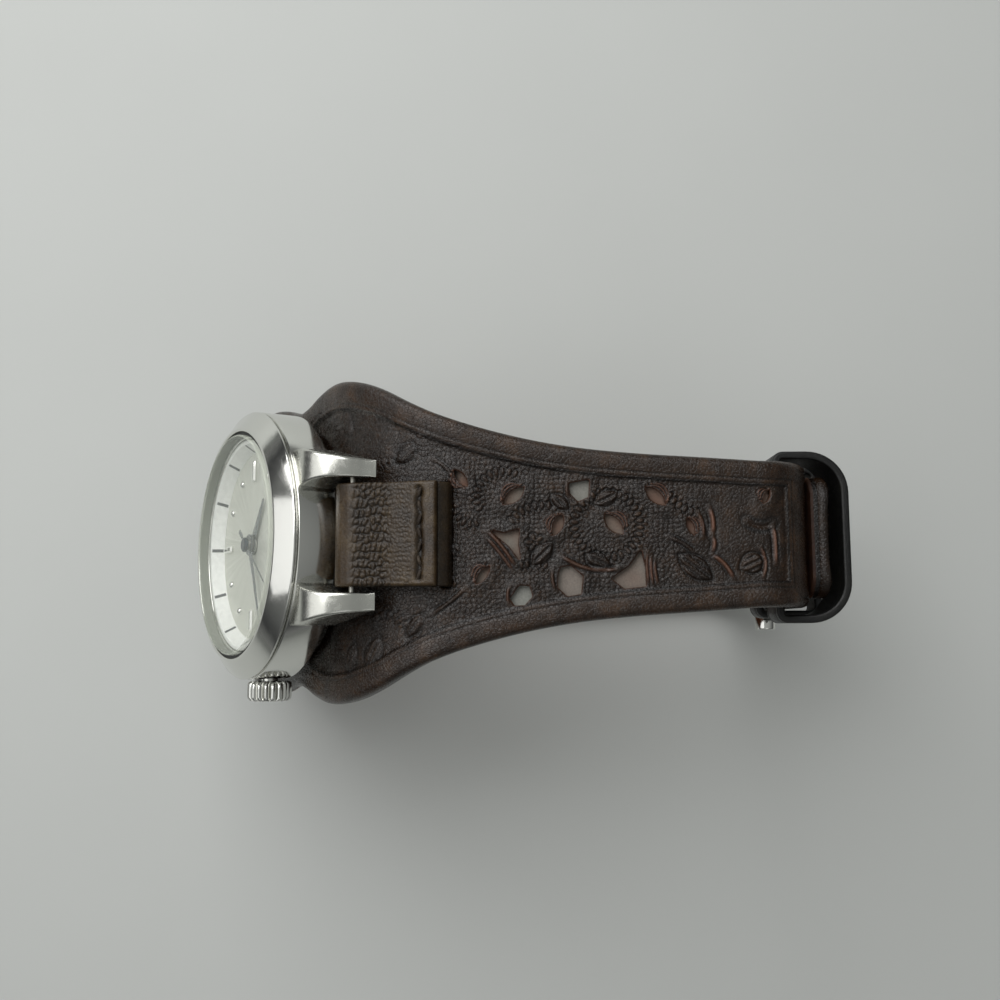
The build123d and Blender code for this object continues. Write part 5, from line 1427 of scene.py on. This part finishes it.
class CUFF_OT_crown(bpy.types.Operator):
    """Fluted crown"""

    bl_idname = "cuff.crown"
    bl_label = "Crown"

    def execute(self, context):
        flutes = context.scene.watch_sizes.flutes
        angles = round_angles(flutes * 12)
        groove = (1 - np.abs(np.sin(flutes * angles / 2)) ** 0.75) * FLUTE_DEPTH
        along, radius, share = np.array(CROWN).T
        reach = (radius - groove[:, None] * share)[..., None]
        way = ALONG * np.cos(angles)[:, None, None] + OUTWARD * np.sin(angles)[:, None, None]
        rings = HEAD - OUTWARD * CROWN_DEPTH + RIGHT * along[:, None] + way * reach
        shape = looped(rings, True)
        add_piece("crown_fluted", shape, "polished", "winder", "crown", sharp=50)
        return {"FINISHED"}


class CUFF_OT_closure(bpy.types.Operator):
    """Keepers, buckle frame and prong"""

    bl_idname = "cuff.closure"
    bl_label = "Buckle and keepers"

    def execute(self, context):
        for row in KEEPERS:
            self.keeper(*row)
        self.buckle()
        self.prong()
        return {"FINISHED"}

    def keeper(self, node, body, low, high, half, inner_y, outer_y, outer_corner, lean):
        """Leather loop with creased edges, its outer wall leaning in to the strap at the bottom."""
        middle = KEEPER_WALL / 2
        line = []
        for across, level, radius, start in (
            (half, inner_y, KEEPER_CORNER, -90),
            (half, outer_y, outer_corner, 0),
            (-half, outer_y, outer_corner, 90),
            (-half, inner_y, KEEPER_CORNER, 180),
        ):
            centre_x = across - np.sign(across) * radius
            centre_y = level + (1 if level == inner_y else -1) * radius
            for turn in np.linspace(radians(start), radians(start + 90), 14):
                reach = radius - middle
                line.append((centre_x + reach * cos(turn), centre_y + reach * sin(turn), (low + high) / 2))
        tall = (high - low) / 2
        corners = softened(((-middle, -tall), (middle, -tall), (middle, tall), (-middle, tall)), 0.32, 4)
        creases = ((0.0, -0.78), (0.1, -0.72), (0.0, -0.66), (0.0, 0.66), (0.1, 0.72), (0.0, 0.78))
        creases = [(middle - sunk, share * tall) for sunk, share in creases]
        section = np.concatenate((corners[:10], creases, corners[10:]))
        points, faces = swept(spaced(line, 0.6, closed=True), section, UPWARD, closed=True)
        outer = smooth(inner_y + 3, outer_y - 1.2, points[:, 1])
        points[:, 1] -= lean * (high - points[:, 2]) / (high - low) * outer
        add_piece(f"{node}_leather", (points, faces), "keeper", body, node, sharp=60)

    def buckle(self):
        """Frame of rounded rod with its two eyes."""
        run = np.subtract(FRAME_END, (BUCKLE_Y, BUCKLE_Z))
        length = np.hypot(*run)
        down = np.array((0.0, *(run / length)))
        square = np.cross(RIGHT, down)
        start = np.array((0.0, BUCKLE_Y, BUCKLE_Z))
        corners = ((FRAME_HALF, EYE_GAP), (FRAME_HALF, length), (-FRAME_HALF, length), (-FRAME_HALF, EYE_GAP))
        line = spaced(softened(corners, 3.0, 8, closed=False), 0.7)
        path = start + np.array([RIGHT * across + down * along for across, along in line])
        section = oval(*ROD, 20)
        section = np.sign(section) * np.abs(section) ** 0.8
        section *= np.array(ROD) / np.abs(section).max(0)
        parts = [swept(path, section, square)]
        angles = round_angles(32)
        profile = softened(EYE, 0.25, 3)
        for side in (1, -1):
            rings = []
            for turn in angles:
                way = down * cos(turn) + square * sin(turn)
                rings.append(start + np.array([RIGHT * side * at + way * reach for at, reach in profile]))
            parts.append(looped(np.array(rings), True))
        name, shape = "buckle_frame", gathered(parts)
        add_piece(f"{name}_polished", shape, "polished", "buckle", name, sharp=60)

    def prong(self):
        """Prong bent from flat wire, with its ring round the bar."""
        turns = np.linspace(1.5 * pi - 0.05, -pi / 2 + 0.3, 30)
        ring = [(BUCKLE_Y + PRONG_RING * cos(turn), BUCKLE_Z + PRONG_RING * sin(turn)) for turn in turns]
        leg = softened(PRONG_LEG, 1.2, 6, closed=False)
        section = softened(PRONG_WIRE, 0.22, 3)
        lines = (np.array([(0.0, *place) for place in line]) for line in (ring, spaced(leg, 0.4)))
        shape = gathered([swept(line, section, RIGHT) for line in lines])
        name = "buckle_prong"
        add_piece(f"{name}_polished", shape, "polished", "prong", name, sharp=50)


class CUFF_OT_movement(bpy.types.Operator):
    """Finishes of the parts that the frame already has"""

    bl_idname = "cuff.movement"
    bl_label = "Movement finishes"

    def execute(self, context):
        for finish, names in NODE_FINISHES.items():
            for name in names.split():
                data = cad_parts[name].data
                data.materials.clear()
                data.materials.append(finishes[finish])
        return {"FINISHED"}


class CUFF_OT_stage(bpy.types.Operator):
    """Floor, camera and soft studio light"""

    bl_idname = "cuff.stage"
    bl_label = "Stage"

    def execute(self, context):
        sizes = context.scene.stage_sizes
        link = context.scene.collection.objects.link
        mesh = bpy.data.meshes.new("floor")
        low, high = -FLOOR_REACH, FLOOR_REACH
        corners = ((low, low, 0), (high, low, 0), (high, high, 0), (low, high, 0))
        mesh.from_pydata(corners, [], [(0, 1, 2, 3)])
        floor = bpy.data.objects.new("floor", mesh)
        floor.location.z = -0.02 * MM
        # Pale grey paper, even and quite matt
        mesh.materials.append(new_finish("paper_pressed_matt", laid_paper, tuple(sizes.floor)))
        link(floor)

        camera = bpy.data.objects.new("camera", bpy.data.cameras.new("camera"))
        camera.data.sensor_width, camera.data.lens = CAMERA_LENS
        facing = Matrix(((0, -1, 0), (1, 0, 0), (0, 0, 1)))
        for axis, turn in CAMERA_TURNS:
            facing = Matrix.Rotation(turn, 3, axis) @ facing
        camera.matrix_world = Matrix.Translation(Vector(CAMERA_PLACE) * MM) @ facing.to_4x4()
        link(camera)
        context.scene.camera = camera

        for name, spot, size, share in SOFTBOXES:
            light = bpy.data.lights.new(name, "AREA")
            light.shape, light.size, light.energy = "SQUARE", size, sizes.key * share
            made = bpy.data.objects.new(name, light)
            made.location = spot
            made.rotation_mode = "QUATERNION"
            made.rotation_quaternion = (Vector((0, 0, 0.02)) - Vector(spot)).to_track_quat("-Z", "Y")
            link(made)

        world = bpy.data.worlds.new("studio")
        world.use_nodes = True
        add = partial(add_node, world.node_tree)
        height = add("SeparateXYZ", {"Vector": add("TexCoord", {}).outputs["Generated"]}).outputs["Z"]
        sky = add("ValToRGB", {"Fac": height, "stops": SKY})
        world.node_tree.links.new(sky.outputs["Color"], world.node_tree.nodes["Background"].inputs["Color"])
        context.scene.world = world
        context.scene.view_settings.view_transform = "Standard"
        return {"FINISHED"}


class CUFF_PT_panel(bpy.types.Panel):
    """Sizes and pieces of the cuff watch"""

    bl_idname = "CUFF_PT_panel"
    bl_label = "Cuff watch"
    bl_space_type = "VIEW_3D"
    bl_region_type = "UI"
    bl_category = "Cuff watch"

    def draw(self, context):
        for group in GROUPS:
            sizes = getattr(context.scene, group)
            for name in sizes.__annotations__:
                self.layout.prop(sizes, name)
        for name in STEPS:
            self.layout.operator(f"cuff.{name}")


GROUPS = {"cuff_sizes": CuffSizes, "watch_sizes": WatchSizes, "stage_sizes": StageSizes}
STEPS = ("leather", "tabs", "case", "dial", "hands", "crown", "closure", "movement", "stage")
CLASSES = (
    *GROUPS.values(),
    CUFF_OT_leather,
    CUFF_OT_tabs,
    CUFF_OT_case,
    CUFF_OT_dial,
    CUFF_OT_hands,
    CUFF_OT_crown,
    CUFF_OT_closure,
    CUFF_OT_movement,
    CUFF_OT_stage,
    CUFF_PT_panel,
)


def register():
    for kind in CLASSES:
        bpy.utils.register_class(kind)
    for name, group in GROUPS.items():
        setattr(bpy.types.Scene, name, PointerProperty(type=group))


def unregister():
    for name in GROUPS:
        delattr(bpy.types.Scene, name)
    for kind in reversed(CLASSES):
        bpy.utils.unregister_class(kind)


def main():
    """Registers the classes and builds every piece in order."""
    register()
    finishes.update((key, new_finish(*row)) for key, row in FINISHES.items())
    for name in STEPS:
        getattr(bpy.ops.cuff, name)()
    bpy.context.view_layer.update()


if __name__ == "__main__":
    main()
